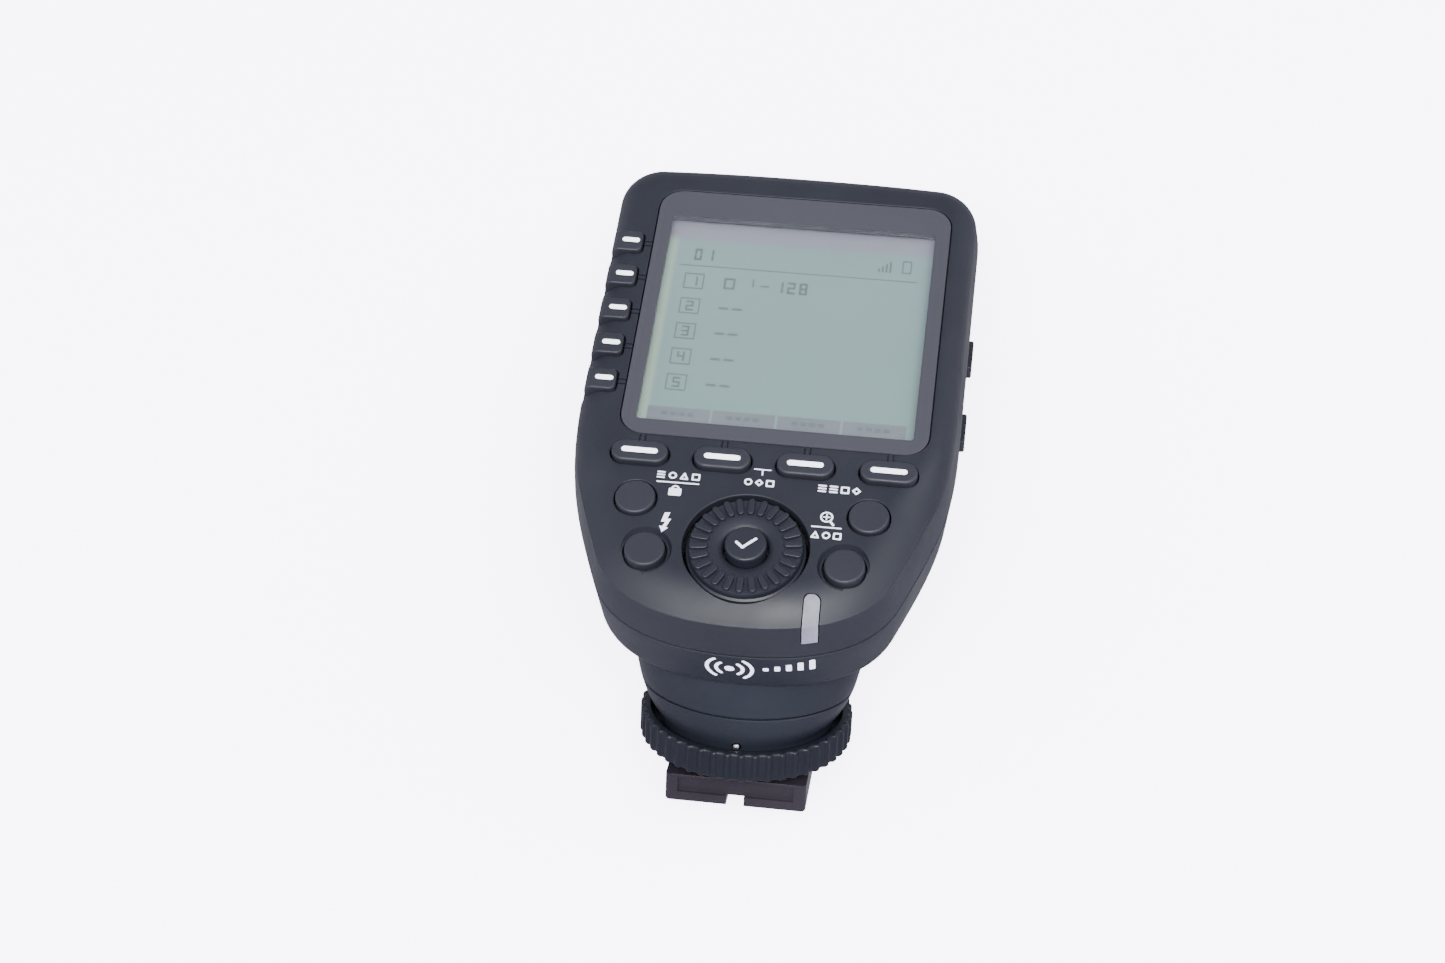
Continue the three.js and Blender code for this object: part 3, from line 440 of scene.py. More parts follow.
def front_rings(wall=0.0, grow=0.0, start=PARTING_Z, steps=14):
    """Side wall and rolled edge up to the face, with the chin's crease and its longer roll."""
    shift = wall - grow
    rings = [casing_ring(SOFTENING + shift, start), casing_ring(shift, start + SOFTENING)]
    for share in (0.35, 0.7):
        side_z = PARTING_Z - share * (PARTING_Z + EDGE_ROLL + shift)
        chin_z = PARTING_Z - share * (PARTING_Z - CREASE_Z + shift)
        side_inset = SIDE_DRAFT * share ** 2 + shift
        rings.append(casing_ring(side_inset, side_z, CREASE_INSET * share ** 1.3 + shift, chin_z))
    for angle in quarter(steps):
        rest = 1 - 2 * angle / math.pi
        rings.append(casing_ring(
            SIDE_DRAFT + EDGE_ROLL * (1 - math.cos(angle)) + shift,
            EDGE_ROLL * (math.sin(angle) - 1) - shift,
            CREASE_INSET + CHIN_ROLL * (1 - rest) + shift,
            CREASE_Z * rest ** 1.8 - shift,
        ))
    return rings


def rear_rings(wall=0.0, grow=0.0):
    """Skirt and back: the wall draws in a little, then rounds into the flat back."""
    shift = wall - grow
    top = PARTING_Z - PARTING_GAP + (1 if wall else 0)
    rings = []
    for angle in quarter(8):
        inset = BACK_DRAFT + BACK_EDGE * (1 - math.sin(angle)) + shift
        rings.append(casing_ring(inset, BACK_Z + BACK_EDGE * (1 - math.cos(angle)) + shift))
    middle_inset, middle_z = SKIRT_MIDDLE
    rings.append(casing_ring(middle_inset + shift, middle_z))
    rings.append(casing_ring(shift, top - SOFTENING))
    rings.append(casing_ring(SOFTENING + shift, top))
    return rings


# ---- materials

NOISE_LOW, NOISE_HIGH = 0.3, 0.7
DISPLAY_LOW, DISPLAY_HIGH = (0.086, 0.138, 0.131, 1), (0.096, 0.147, 0.149, 1)
DISPLAY_CLOUD, DISPLAY_EDGE = (0.090, 0.129, 0.142, 1), (0.15, 0.21, 0.17, 1)
# painted shade and reflection of the window border, a lilac tint laid along the display's top
BORDER_SHADE_ON_DISPLAY = (0.112, 0.116, 0.142, 1)


def nodes_of(name):
    material = bpy.data.materials.new(name)
    material.use_nodes = True
    tree = material.node_tree
    shader = next(node for node in tree.nodes if node.type == "BSDF_PRINCIPLED")
    return material, tree, shader


def fill(tree, node, values):
    """Sets inputs to plain values, or links them where the value is another node's output."""
    for key, value in values.items():
        if isinstance(value, bpy.types.NodeSocket):
            tree.links.new(value, node.inputs[key])
        else:
            node.inputs[key].default_value = value


def add_node(tree, kind, values):
    node = tree.nodes.new(f"ShaderNode{kind}")
    fill(tree, node, values)
    return node


def object_point(tree):
    return tree.nodes.new("ShaderNodeTexCoord").outputs["Object"]


def noise(tree, scale, detail=2.0, roughness=0.5):
    values = {"Vector": object_point(tree), "Scale": scale, "Detail": detail, "Roughness": roughness}
    return add_node(tree, "TexNoise", values).outputs["Fac"]


def ramp(tree, value, low, high):
    """A colour from low to high over the middle of a noise's range."""
    node = add_node(tree, "ValToRGB", {"Fac": value})
    first, last = node.color_ramp.elements
    first.position, last.position = NOISE_LOW, NOISE_HIGH
    first.color, last.color = (*low, 1), (*high, 1)
    return node.outputs["Color"]


def span(tree, value, low, high):
    """A number from low to high over the middle of a noise's range."""
    values = {"Value": value, "From Min": NOISE_LOW, "From Max": NOISE_HIGH, "To Min": low, "To Max": high}
    return add_node(tree, "MapRange", values).outputs["Result"]


def bump(tree, height, distance, strength=1.0, under=None):
    """A fine relief, distance in metres, laid over another one where that is given."""
    values = {"Height": height, "Distance": distance, "Strength": strength}
    if under is not None:
        values["Normal"] = under
    return add_node(tree, "Bump", values).outputs["Normal"]


def moulded(name, color, roughness=0.5, grain=5200, depth=9e-6, variation=0.12, spread=0.06, specular=0.5):
    """Injection-moulded plastic: spark-eroded grain, faint cloudy colour and handled, shinier patches."""
    material, tree, shader = nodes_of(name)
    low = [c * (1 - variation) for c in color]
    high = [c * (1 + variation) for c in color]
    fine = bump(tree, noise(tree, grain, 2, 0.6), depth)
    fill(tree, shader, {
        "Base Color": ramp(tree, noise(tree, 55, 3), low, high),
        "Roughness": span(tree, noise(tree, 120, 4), roughness - spread, roughness + spread),
        "Specular IOR Level": specular,
        "Normal": bump(tree, noise(tree, grain / 9, 2), depth * 1.4, 0.5, fine),
    })
    return material


def metal(name, color, roughness=0.3, brushed=(900, 900, 900)):
    """Plain metal with a fine grain, stretched by the three scales in brushed."""
    material, tree, shader = nodes_of(name)
    stretch = add_node(tree, "Mapping", {"Vector": object_point(tree), "Scale": brushed})
    grain = add_node(tree, "TexNoise", {"Vector": stretch.outputs["Vector"], "Scale": 3, "Detail": 3})
    value = grain.outputs["Fac"]
    fill(tree, shader, {
        "Base Color": ramp(tree, value, [c * 0.85 for c in color], color),
        "Roughness": span(tree, value, roughness * 0.75, roughness * 1.3),
        "Metallic": 1,
        "Normal": bump(tree, value, 3e-6),
    })
    return material


def panel_coordinates(tree):
    """The point being shaded, in the panel frame, in millimetres."""
    inverse = PANEL.inverted()
    mapping = add_node(tree, "Mapping", {
        "Vector": object_point(tree), "Scale": (1 / MM,) * 3,
        "Rotation": inverse.to_euler(), "Location": inverse.to_translation(),
    })
    return add_node(tree, "SeparateXYZ", {"Vector": mapping.outputs["Vector"]}).outputs


def between(tree, value, low, high):
    """0 below low, 1 above high, smooth between."""
    node = add_node(tree, "MapRange", {"Value": value, "From Min": low, "From Max": high})
    node.interpolation_type = "SMOOTHSTEP"
    return node.outputs["Result"]


def mixed(tree, share, first, second):
    """A blend of two colours; in the node's list of inputs, 0 is the share and 6 and 7 are the colours."""
    node = tree.nodes.new("ShaderNodeMix")
    node.data_type = "RGBA"
    fill(tree, node, {0: share, 6: first, 7: second})
    return node.outputs[2]


def display_material():
    """A reflective display, grey-green, with a painted lilac shade and reflection of the window border along its
    top and a light edge on its left.
    """
    material, tree, shader = nodes_of("display")
    x, y, _ = panel_coordinates(tree)
    left, top = VIEW_X - VIEW_WIDTH / 2, VIEW_Y + VIEW_HEIGHT / 2
    field = mixed(tree, between(tree, y, 22, 60), DISPLAY_LOW, DISPLAY_HIGH)
    cloudy = mixed(tree, span(tree, noise(tree, 60, 2), 0.0, 0.25), field, DISPLAY_CLOUD)
    edge = mixed(tree, between(tree, x, left + 0.6, left + 1.8), DISPLAY_EDGE, cloudy)
    fill(tree, shader, {
        # painted shade and reflection of the window border: a lilac band blended in along the top of the display
        "Base Color": mixed(tree, between(tree, y, top - 4.2, top - 1.8), edge, BORDER_SHADE_ON_DISPLAY),
        "Roughness": span(tree, noise(tree, 900, 2), 0.28, 0.36),
        "Normal": bump(tree, noise(tree, 1500, 1), 2e-7),
    })
    return material


def window_material():
    """Clear acrylic with a faint haze."""
    material, tree, shader = nodes_of("clear_window")
    fill(tree, shader, {
        "Base Color": ramp(tree, noise(tree, 70, 2), (0.10, 0.11, 0.13), (0.14, 0.15, 0.17)),
        "Roughness": span(tree, noise(tree, 240, 3), 0.05, 0.12),
        "Alpha": 0.06,
    })
    return material


def lamp_material():
    """A frosted light pipe, unlit."""
    material, tree, shader = nodes_of("frosted_lamp")
    fill(tree, shader, {
        "Base Color": ramp(tree, noise(tree, 300, 3), (0.09, 0.09, 0.118), (0.14, 0.14, 0.175)),
        "Roughness": span(tree, noise(tree, 700, 2), 0.3, 0.42),
        "Specular IOR Level": 0.15,
        "Subsurface Weight": 0.35,
        "Subsurface Radius": (0.002, 0.002, 0.0025),
        "Normal": bump(tree, noise(tree, 3000, 2), 5e-6),
    })
    return material


CASING = moulded("casing_plastic", (0.0084, 0.0094, 0.0136), 0.46, depth=4e-6, specular=0.16)
REAR = moulded("rear_plastic", (0.0070, 0.0082, 0.0125), 0.44, depth=4e-6, specular=0.14)
RING_PLASTIC = moulded("ring_plastic", (0.0046, 0.0054, 0.0084), 0.42, depth=4e-6, specular=0.14)
KEY_PLASTIC = moulded("key_plastic", (0.0122, 0.0130, 0.0176), 0.42, grain=7000, depth=4e-6, specular=0.16)
DIAL_PLASTIC = moulded(
    "dial_plastic", (0.0092, 0.0101, 0.0146), 0.38, grain=7000, depth=4e-6, specular=0.16,
)
BORDER = moulded(
    "window_border", (0.022, 0.0225, 0.029), 0.2, grain=9000, depth=8e-7, variation=0.05, spread=0.03,
)
CAP_PLASTIC = moulded("cap_plastic", (0.0110, 0.0092, 0.0130), 0.32, grain=3000, depth=4e-6, specular=0.14)
DARK_INNER = moulded("dark_inner_plastic", (0.02, 0.02, 0.022), 0.6)
WHITE_PRINT = moulded("white_print", (0.60, 0.61, 0.71), 0.5, grain=6000, depth=3e-6, variation=0.03)
WHITE_BAR = moulded("white_bar", (0.90, 0.91, 1.0), 0.45, grain=6000, depth=3e-6, variation=0.02)
LCD_INK = moulded("display_mark", (0.046, 0.067, 0.068), 0.4, grain=6000, depth=1e-6, variation=0.08)
LCD_TAB = moulded("display_tab", (0.072, 0.084, 0.096), 0.4, grain=6000, depth=1e-6, variation=0.08)
WHITE_GUIDE = moulded("white_guide", (0.75, 0.75, 0.73), 0.4)
BOARD = moulded("circuit_board", (0.004, 0.014, 0.008), 0.35, grain=1500, specular=0.2)
RUBBER = moulded("keymat_rubber", (0.010, 0.010, 0.012), 0.8, specular=0.2)
CELL = moulded("cell_sleeve", (0.18, 0.19, 0.21), 0.3, variation=0.2)
STEEL = metal("plated_steel", (0.62, 0.62, 0.64), 0.28)
ALLOY = metal("foot_alloy", (0.5, 0.51, 0.53), 0.36, (300, 2400, 300))
GOLD = metal("gold_plate", (0.83, 0.62, 0.28), 0.25)
DISPLAY = display_material()
WINDOW = window_material()
LAMP = lamp_material()

SLOT_LOOKS = {
    "casing": CASING, "ring_plastic": RING_PLASTIC, "key_plastic": KEY_PLASTIC, "screen_window": WINDOW,
    "display": DISPLAY, "lamp_plastic": LAMP, "inner_plastic": DARK_INNER, "white_plastic": WHITE_GUIDE,
    "circuit_board": BOARD, "keymat_rubber": RUBBER, "steel": STEEL, "foot_metal": ALLOY,
    "gold_contacts": GOLD, "cap_plastic": CAP_PLASTIC, "cell_can": CELL,
}


def dress_cad_nodes():
    """Every node that stays gets its slot's procedural material."""
    slot_of = {row["node"]: row["material_slot"] for row in frame["record"]["subparts"]}
    for name, node in NODES.items():
        node.data.materials.clear()
        node.data.materials.append(SLOT_LOOKS[slot_of[name]])


dress_cad_nodes()

# ---- front half of the casing


def soft_key_x(index):
    return SOFT_KEY_X + SOFT_KEY_PITCH * (index - 1.5)


def group_key_y(index):
    return GROUP_KEY_TOP - GROUP_KEY_PITCH * index


def quarter_round(reach, size, top, steps):
    """Levels of a wall's upper edge that rounds out by reach (in, below 0) and ends at height top."""
    return [(reach * (1 - math.cos(a)), top - size + size * math.sin(a)) for a in quarter(steps)]


def flared(outline, floor, lip, top=0.0):
    """A cutter for an opening in the face with a small rounded edge, whose rim is at height top."""
    return stack(outline, [(0, floor), *quarter_round(lip, lip, top, 4), (lip, top + 3)])


def along_x(piece, y, z):
    """Turns a piece drawn along z to lie along x."""
    turn = Matrix.Rotation(math.pi / 2, 4, "Y") @ Matrix.Rotation(math.pi / 2, 4, "Z")
    return moved(piece, Matrix.Translation((0, y, z)) @ turn)


def group_pocket(y):
    """Open through the rolled edge, with a scoop that widens out through the side."""
    half = GROUP_KEY_HEIGHT / 2 + 0.25
    right = GROUP_KEY_RIGHT + 0.22
    pocket = flared(rounded_rectangle(12, 2 * half, 1.0, right - 6, y), -4.2, 0.15)
    scoop = stack(circle(half), [
        (2.4, -HALF_WIDTH - 1.9), (0.9, -HALF_WIDTH), (0.45, -28.9), (0.2, -28.45), (0, -28.3),
    ])
    return join(pocket, along_x(scoop, y, -3.6))


def lamp_outline(clearance):
    """The light pipe seen on the face, running off past the chin."""
    length = 12
    return rounded_rectangle(
        LAMP_WIDTH + 2 * clearance, length, 1.0, LAMP_X, LAMP_TOP + clearance - length / 2,
    )()


def front_hollow():
    return loft(front_rings(wall=WALL, start=PARTING_Z - 3, steps=6))


def build_front_shell():
    """The face with its openings: window seat, dial, keys, buttons, key ticks and lamp slot."""
    shell = cut(loft(front_rings()), front_hollow())
    seat = rounded_rectangle(
        LENS_WIDTH + 2 * LENS_GAP, LENS_HEIGHT + 2 * LENS_GAP, LENS_CORNER + 0.15, LENS_X, LENS_Y,
    )
    cutters = [
        flared(seat, -1.35, 0.15),
        prism(rounded_rectangle(43.6, 43.2, 1, VIEW_X, VIEW_Y + 0.3)(), -5, 2),
        flared(circle(DIAL_HOLE, sides=128), -6, 0.2),
        prism(lamp_outline(0.14), LAMP_BOTTOM_Z - 0.14, 3),
    ]
    for i in range(4):
        x = soft_key_x(i)
        opening = obround(SOFT_KEY_WIDTH + 0.5, SOFT_KEY_HEIGHT + 0.45, x, SOFT_KEY_Y)
        cutters.append(flared(opening, -6, 0.2))
        for side in TICK_OFFSETS:
            cutters.append(block(around(x + side, TICK_HALF), (17.2, 19.3), (TICK_FLOOR, 1)))
    for i in range(5):
        y = group_key_y(i)
        cutters.append(group_pocket(y))
        for side in TICK_OFFSETS:
            cutters.append(block((-23.6, -21.7), around(y + side, TICK_HALF), (TICK_FLOOR, 1)))
    for name, (x, y, _) in BUTTONS.items():
        recessed = name in RECESSED
        if recessed:
            cutters.append(stack(circle(BUTTON_DISH, x, y), [(-0.1, -0.75), (0, -0.6), (0.9, 1.5)]))
        cutters.append(flared(circle(BUTTON_HOLE, x, y), -6, 0.16, -0.72 if recessed else 0.0))
    cut(shell, *cutters)
    finish_piece(shell, "front_case", "case", "casing", replaces=["front_shell"])


def build_status_lamp():
    lamp = cut(loft(front_rings(grow=0.03)), front_hollow())
    keep(lamp, prism(lamp_outline(-0.02), LAMP_BOTTOM_Z, 3))
    finish_piece(lamp, "lamp_strip", "case", "lamp_plastic", replaces=["status_lamp"])


# ---- rear half of the casing


def neck_profile(height):
    """Half width, rear reach and front reach at a height, smooth through the listed levels."""
    levels = np.array(NECK_LEVELS, float)
    k = int(np.clip(np.searchsorted(levels[:, 0], height) - 1, 0, len(levels) - 2))
    slopes = np.gradient(levels[:, 1:], levels[:, 0], axis=0)
    h = levels[k + 1, 0] - levels[k, 0]
    t = (height - levels[k, 0]) / h
    return (
        (2 * t ** 3 - 3 * t ** 2 + 1) * levels[k, 1:] + (t ** 3 - 2 * t ** 2 + t) * h * slopes[k]
        + (-2 * t ** 3 + 3 * t ** 2) * levels[k + 1, 1:] + (t ** 3 - t ** 2) * h * slopes[k + 1]
    )


def neck_solid(low, high, wall=0.0, steps=24, soft=0.0, sides=128):
    """The neck between two heights, with soft rounding of its ends."""
    rings = []
    heights = list(np.linspace(low, high, steps))
    if soft:
        heights = [low, low + soft, *heights[1:-1], high - soft, high]
    for k, height in enumerate(heights):
        half, rear, front = neck_profile(height)
        shrink = wall + (soft if k in (0, len(heights) - 1) else 0)
        ring = []
        for i in range(sides):
            angle = TAU * i / sides
            reach = (rear if math.sin(angle) < 0 else front) - shrink
            ring.append(((half - shrink) * math.cos(angle), reach * math.sin(angle), height))
        rings.append(ring)
    return loft(rings)


def hump_solid(top=BACK_Z + 4):
    """The battery bay's hump on the back, with rounded back edges."""
    height = HUMP_TOP - HUMP_BOTTOM
    outline = rounded_rectangle(2 * HUMP_HALF, height, 5, 0, (HUMP_TOP + HUMP_BOTTOM) / 2, steps=14)
    levels = []
    for angle in quarter(8):
        levels.append((-HUMP_EDGE * (1 - math.sin(angle)), HUMP_BACK + HUMP_EDGE * (1 - math.cos(angle))))
    return stack(outline, [*levels, (0, top)])


def usb_prism(width, height, low, high):
    return along_x(prism(obround(width, height)(), low, high), USB_Y, USB_Z)


def build_rear_shell():
    shell = loft(rear_rings())
    neck = moved(neck_solid(NECK_SPLIT + PARTING_GAP / 2, 25.9, soft=0.12, steps=30), SHOE_IN_PANEL)
    keep(neck, block((-40, 40), (-40, 40), (-60, BACK_Z + 0.6)))
    tongue = loft([casing_ring(0.6, PARTING_Z - 2), casing_ring(0.6, PARTING_Z - 0.02)])
    join(shell, hump_solid(), neck, tongue)
    hollow = moved(neck_solid(NECK_SPLIT - 1, 24, WALL, steps=14), SHOE_IN_PANEL)
    keep(hollow, block((-40, 40), (-40, 15), (-60, PARTING_Z)))
    cutters = [
        loft(rear_rings(wall=WALL)),
        hollow,
        block((-18, 18), (17.2, 72), (-32, PARTING_Z)),
        block((-20.6, 20.6), (17.2, 72), (-26, PARTING_Z)),
        block((-DOOR_HALF - 0.2, DOOR_HALF + 0.2), (17, 80), (-32, DOOR_FRONT + 0.3)),
        block((-DOOR_HALF - 1.3, DOOR_HALF + 1.3), (17, 80), (-28, DOOR_FRONT + 0.3)),
        usb_prism(USB_WIDTH + 0.6, USB_HEIGHT + 0.6, -HALF_WIDTH - 1, -HALF_WIDTH + 5),
        along_x(prism(circle(SYNC_RADIUS + 0.2)(), -HALF_WIDTH - 1, -HALF_WIDTH + 5), SYNC_Y, SYNC_Z),
        moved(block((-5.7, 5.7), (9.5, 16), (6.8, 11.2)), SHOE_IN_PANEL),
    ]
    for x, y in CASE_SCREWS:
        cutters.append(prism(circle(SCREW_HOLE, x, y, 48)(), BACK_Z - 1, BACK_Z + SCREW_HOLE_DEPTH))
    for y in SWITCHES.values():
        low, high = y - SWITCH_TRAVEL - 1.5, y + 1.5
        slot = rounded_rectangle(high - low, 2.2, 0.5)
        cutters.append(along_x(prism(slot(), HALF_WIDTH - 4, HALF_WIDTH + 2), (low + high) / 2, SWITCH_Z))
    cut(shell, *cutters)
    dome = ((0, -2), (0, -0.35), (-0.15, -0.15), (-0.4, -0.08))
    for y in SWITCH_DOTS:
        dot = stack(circle(0.5, sides=32), [(grow, HALF_WIDTH + z) for grow, z in dome])
        join(shell, along_x(dot, y, SWITCH_Z))
    finish_piece(shell, "rear_case", "case", "casing", REAR, replaces=["rear_shell"])


def build_battery_door():
    """A flat cover with side runners, finger grooves and a sunk arrow for the way it slides."""
    door = block((-DOOR_HALF, DOOR_HALF), (DOOR_END, HUMP_TOP), (DOOR_BACK, DOOR_FRONT))
    rounded(door, 0.25)
    join(door, block((-DOOR_HALF - 1, DOOR_HALF + 1), (DOOR_END, HUMP_TOP - 0.1), (-27.7, DOOR_FRONT)))
    keep(door, hump_solid())
    cutters = []
    for i in range(8):
        y = 22 + 1.5 * i
        groove = obround(15 - abs(i - 3.5) * 1.4, 0.7, 0, y, 8)
        cutters.append(stack(groove, [(0.15, DOOR_BACK - 1), (0.15, DOOR_BACK), (-0.1, DOOR_BACK + 0.35)]))
    arrow = [(-3, 37), (3, 37), (0, 41)]
    cutters.append(prism(arrow, DOOR_BACK - 1, DOOR_BACK + 0.25))
    cut(door, *cutters)
    finish_piece(door, "battery_cover", "battery_door", "casing", REAR, replaces=["battery_door"])


def build_sockets():
    usb = usb_prism(USB_WIDTH, USB_HEIGHT, -28.3, -21.5)
    cut(usb, usb_prism(USB_WIDTH - 0.6, USB_HEIGHT - 0.6, -29, -22.4))
    join(usb, block((-27.6, -22), around(USB_Y, 3.3), around(USB_Z, 0.35)))
    finish_piece(usb, "usb_shell", "case", "steel", replaces=["usb_socket"])
    bore = [(0, -21.5), (1.3, -21.5), (1.3, -28.1), (1.5, -28.3)]
    barrel = [(SYNC_RADIUS - 0.2, -28.3), (SYNC_RADIUS, -28.1), (SYNC_RADIUS, -20.5), (0, -20.5)]
    jack = turned(bore + barrel, 64)
    along_x(jack, SYNC_Y, SYNC_Z)
    finish_piece(jack, "sync_jack", "case", "inner_plastic", replaces=["sync_socket"])


def build_case_screws():
    """Domed cross-slot heads on plain shanks."""
    profile = [(0, 0), (0.9, 0.05), (1.5, 0.3), (1.7, 0.55), (1.7, 1), (0.9, 1), (0.9, 12.5), (0, 12.5)]
    low = BACK_Z + SCREW_SUNK
    across, along, depth = SCREW_SLOT_HALF, SCREW_SLOT_REACH, (low - 1, low + 0.6)
    for i, (x, y) in enumerate(CASE_SCREWS):
        head = moved(turned(profile, 40), Matrix.Translation((x, y, low)))
        for reach_x, reach_y in ((along, across), (across, along)):
            cut(head, block(around(x, reach_x), around(y, reach_y), depth))
        finish_piece(head, f"back_screw_{i + 1}", "case", "steel", replaces=[f"case_screw_{i + 1}"])


# ---- screen


def build_screen():
    """The bordered window, its clear pane and the display glass behind it."""
    outer = rounded_rectangle(LENS_WIDTH, LENS_HEIGHT, LENS_CORNER, LENS_X, LENS_Y, 16)
    border = stack(outer, [(0, -LENS_THICK), (0, -0.1), (-0.03, -0.03), (-0.1, 0)])
    view = rounded_rectangle(VIEW_WIDTH, VIEW_HEIGHT, 0.5, VIEW_X, VIEW_Y)
    cut(border, prism(view(), -3, 2))
    finish_piece(border, "window_frame", "case", "screen_window", BORDER, replaces=["screen_lens"])
    pane = prism(view(-0.01), -0.5, -0.012)
    finish_piece(pane, "window_pane", "case", "screen_window")
    glass = prism(rounded_rectangle(44, 43, 0.6, VIEW_X, VIEW_Y)(), -3.8, DISPLAY_Z)
    finish_piece(glass, "display_glass", "case", "display", replaces=["lcd_panel"])


SEGMENTS = {
    "0": "abcdef", "1": "bc", "2": "abged", "3": "abgcd", "4": "fgbc", "5": "afgcd", "8": "abcdefg",
}


def digit_bars(mark, x, y, width, height, line):
    """The lit bars of a seven-segment digit, as rectangles (x, y ranges)."""
    middle, top, right, gap = y + height / 2, y + height, x + width, line * 0.25
    upper, lower = (middle + gap, top - gap), (y + gap, middle - gap)
    bars = {
        "a": ((x, right), (top - line, top)),
        "b": ((right - line, right), upper),
        "c": ((right - line, right), lower),
        "d": ((x, right), (y, y + line)),
        "e": ((x, x + line), lower),
        "f": ((x, x + line), upper),
        "g": ((x, right), (middle - line / 2, middle + line / 2)),
    }
    return [bars[key] for key in SEGMENTS[mark]]


def box_bars(x, y, width, height, line):
    right, top = x + width, y + height
    return [
        ((x, right), (y, y + line)),
        ((x, right), (top - line, top)),
        ((x, x + line), (y + line, top - line)),
        ((right - line, right), (y + line, top - line)),
    ]


def flat_marks(name, bars, thickness, look):
    """Many small rectangles, measured from the display's top left corner, as one thin piece on it."""
    low, high = DISPLAY_Z, DISPLAY_Z + thickness
    left, top = VIEW_X - VIEW_WIDTH / 2, VIEW_Y + VIEW_HEIGHT / 2
    points, faces = [], []
    for (x0, x1), (y0, y1) in bars:
        base = len(points)
        corners = ((x0, y0), (x1, y0), (x1, y1), (x0, y1))
        points += [(left + x, top + y, z) for z in (low, high) for x, y in corners]
        faces += [tuple(base + k for k in face) for face in (
            (3, 2, 1, 0), (4, 5, 6, 7), (0, 1, 5, 4), (1, 2, 6, 5), (2, 3, 7, 6), (3, 0, 4, 7),
        )]
    finish_piece(new_object(points, faces), name, "case", "display", look)


def build_display_marks():
    """A plain numbered list: five boxed numbers with dashes, a level by the first, and four tabs below."""
    bars = [((2.0, 40), (-8.65, -8.5))]
    for k, mark in enumerate("01"):
        bars += digit_bars(mark, 4.2 + 1.9 * k, -7.4, 1.2, 2.4, 0.36)
    for i in range(5):
        y = -LIST_TOP - LIST_PITCH * i
        bars += box_bars(3.2, y, LIST_BOX, LIST_BOX, 0.2)
        bars += digit_bars(str(i + 1), 4.2, y + 0.6, 1.2, 2.0, 0.3)
        if i:
            for k in range(2):
                bars.append(((9.4 + 2.1 * k, 11 + 2.1 * k), (y + 1.35, y + 1.75)))
    for k, mark in enumerate("128"):
        bars += digit_bars(mark, 17.8 + 1.9 * k, -13.0, 1.3, 2.4, 0.38)
    bars += digit_bars("1", 13.6, -12.2, 0.8, 1.7, 0.28)
    bars.append(((15.4, 16.8), (-12.0, -11.7)))
    bars += box_bars(9.6, -13.0, 1.8, 2.3, 0.36)
    bars += box_bars(37.4, -6.9, 1.5, 2.6, 0.2)
    for k in range(4):
        bars.append(((33.6 + 0.6 * k, 33.9 + 0.6 * k), (-6.9, -6.2 + 0.5 * k)))
    flat_marks("display_marks", bars, 0.04, LCD_INK)
    tabs, dashes, bottom = [], [], -VIEW_HEIGHT
    for i in range(4):
        x = 1.2 + TAB_PITCH * i
        tabs.append(((x, x + TAB_WIDTH), (bottom + 1.0, bottom + 4.1)))
        for k in range(4):
            start = x + 2.2 + 1.35 * k
            dashes.append(((start, start + 0.9), (bottom + 2.5, bottom + 3.2)))
    flat_marks("display_tabs", tabs, 0.03, LCD_TAB)
    flat_marks("display_tab_dashes", dashes, 0.05, LCD_INK)


# ---- keys and dial


def pillow(outline, floor, top, edge):
    """A cap with a rounded upper edge."""
    return stack(outline, [(0, floor), *quarter_round(-edge, edge, top, 5), (-edge - 0.25, top + 0.015)])


def finish_cap(cap, name, angle=32):
    finish_piece(cap, f"{name}_cap", name, "key_plastic", replaces=[name], angle=angle)


def white_bar(name, width, height, x, y, top):
    """The white bar inlaid in a key."""
    bar = stack(obround(width, height, x, y, 10), [(0, top - 0.2), (0, top + 0.03), (-0.04, top + 0.05)])
    finish_piece(bar, f"{name}_bar", name, "key_plastic", WHITE_BAR)


def build_soft_keys():
    for i in range(4):
        x = soft_key_x(i)
        name = f"soft_key_{i + 1}"
        key = pillow(obround(SOFT_KEY_WIDTH, SOFT_KEY_HEIGHT, x, SOFT_KEY_Y, 24), -2.4, SOFT_KEY_TOP, 0.45)
        flange = obround(SOFT_KEY_WIDTH + 1.2, SOFT_KEY_HEIGHT + 1, x, SOFT_KEY_Y)
        join(key, prism(flange(), KEY_FLANGE_FLOOR, KEY_FLANGE_TOP))
        finish_cap(key, name)
        white_bar(name, SOFT_BAR_WIDTH, SOFT_BAR_HEIGHT, x, SOFT_KEY_Y, SOFT_KEY_TOP)


def key_crown(low, high):
    """The keys' side view, flat on top and rounded down over the outer end, as a solid along the panel."""
    (start, top), (end, drop) = GROUP_KEY_CROWN
    points = [(0, GROUP_KEY_FLOOR - 2), (0, top)]
    for angle in quarter(12):
        x = start + (end - start) * math.sin(angle)
        points.append((x, drop + (top - drop) * math.cos(angle)))
    points.append((end, GROUP_KEY_FLOOR - 2))
    return moved(prism(points, -high, -low), LAID_DOWN)


def build_group_keys():
    for i in range(5):
        y = group_key_y(i)
        name = f"group_key_{i + 1}"
        length = 10
        outline = rounded_rectangle(length, GROUP_KEY_HEIGHT, 0.9, GROUP_KEY_RIGHT - length / 2, y)
        key = prism(outline(), GROUP_KEY_FLOOR, 2)
        keep(key, key_crown(y - 5, y + 5))
        rounded(key, 0.32, 4)
        join(key, block((-24.8, -22.7), around(y, 2.7), (KEY_FLANGE_FLOOR, KEY_FLANGE_TOP)))
        finish_cap(key, name, angle=40)
        white_bar(name, GROUP_BAR_WIDTH, GROUP_BAR_HEIGHT, GROUP_BAR_X, y + 0.1, GROUP_KEY_TOP_Z)


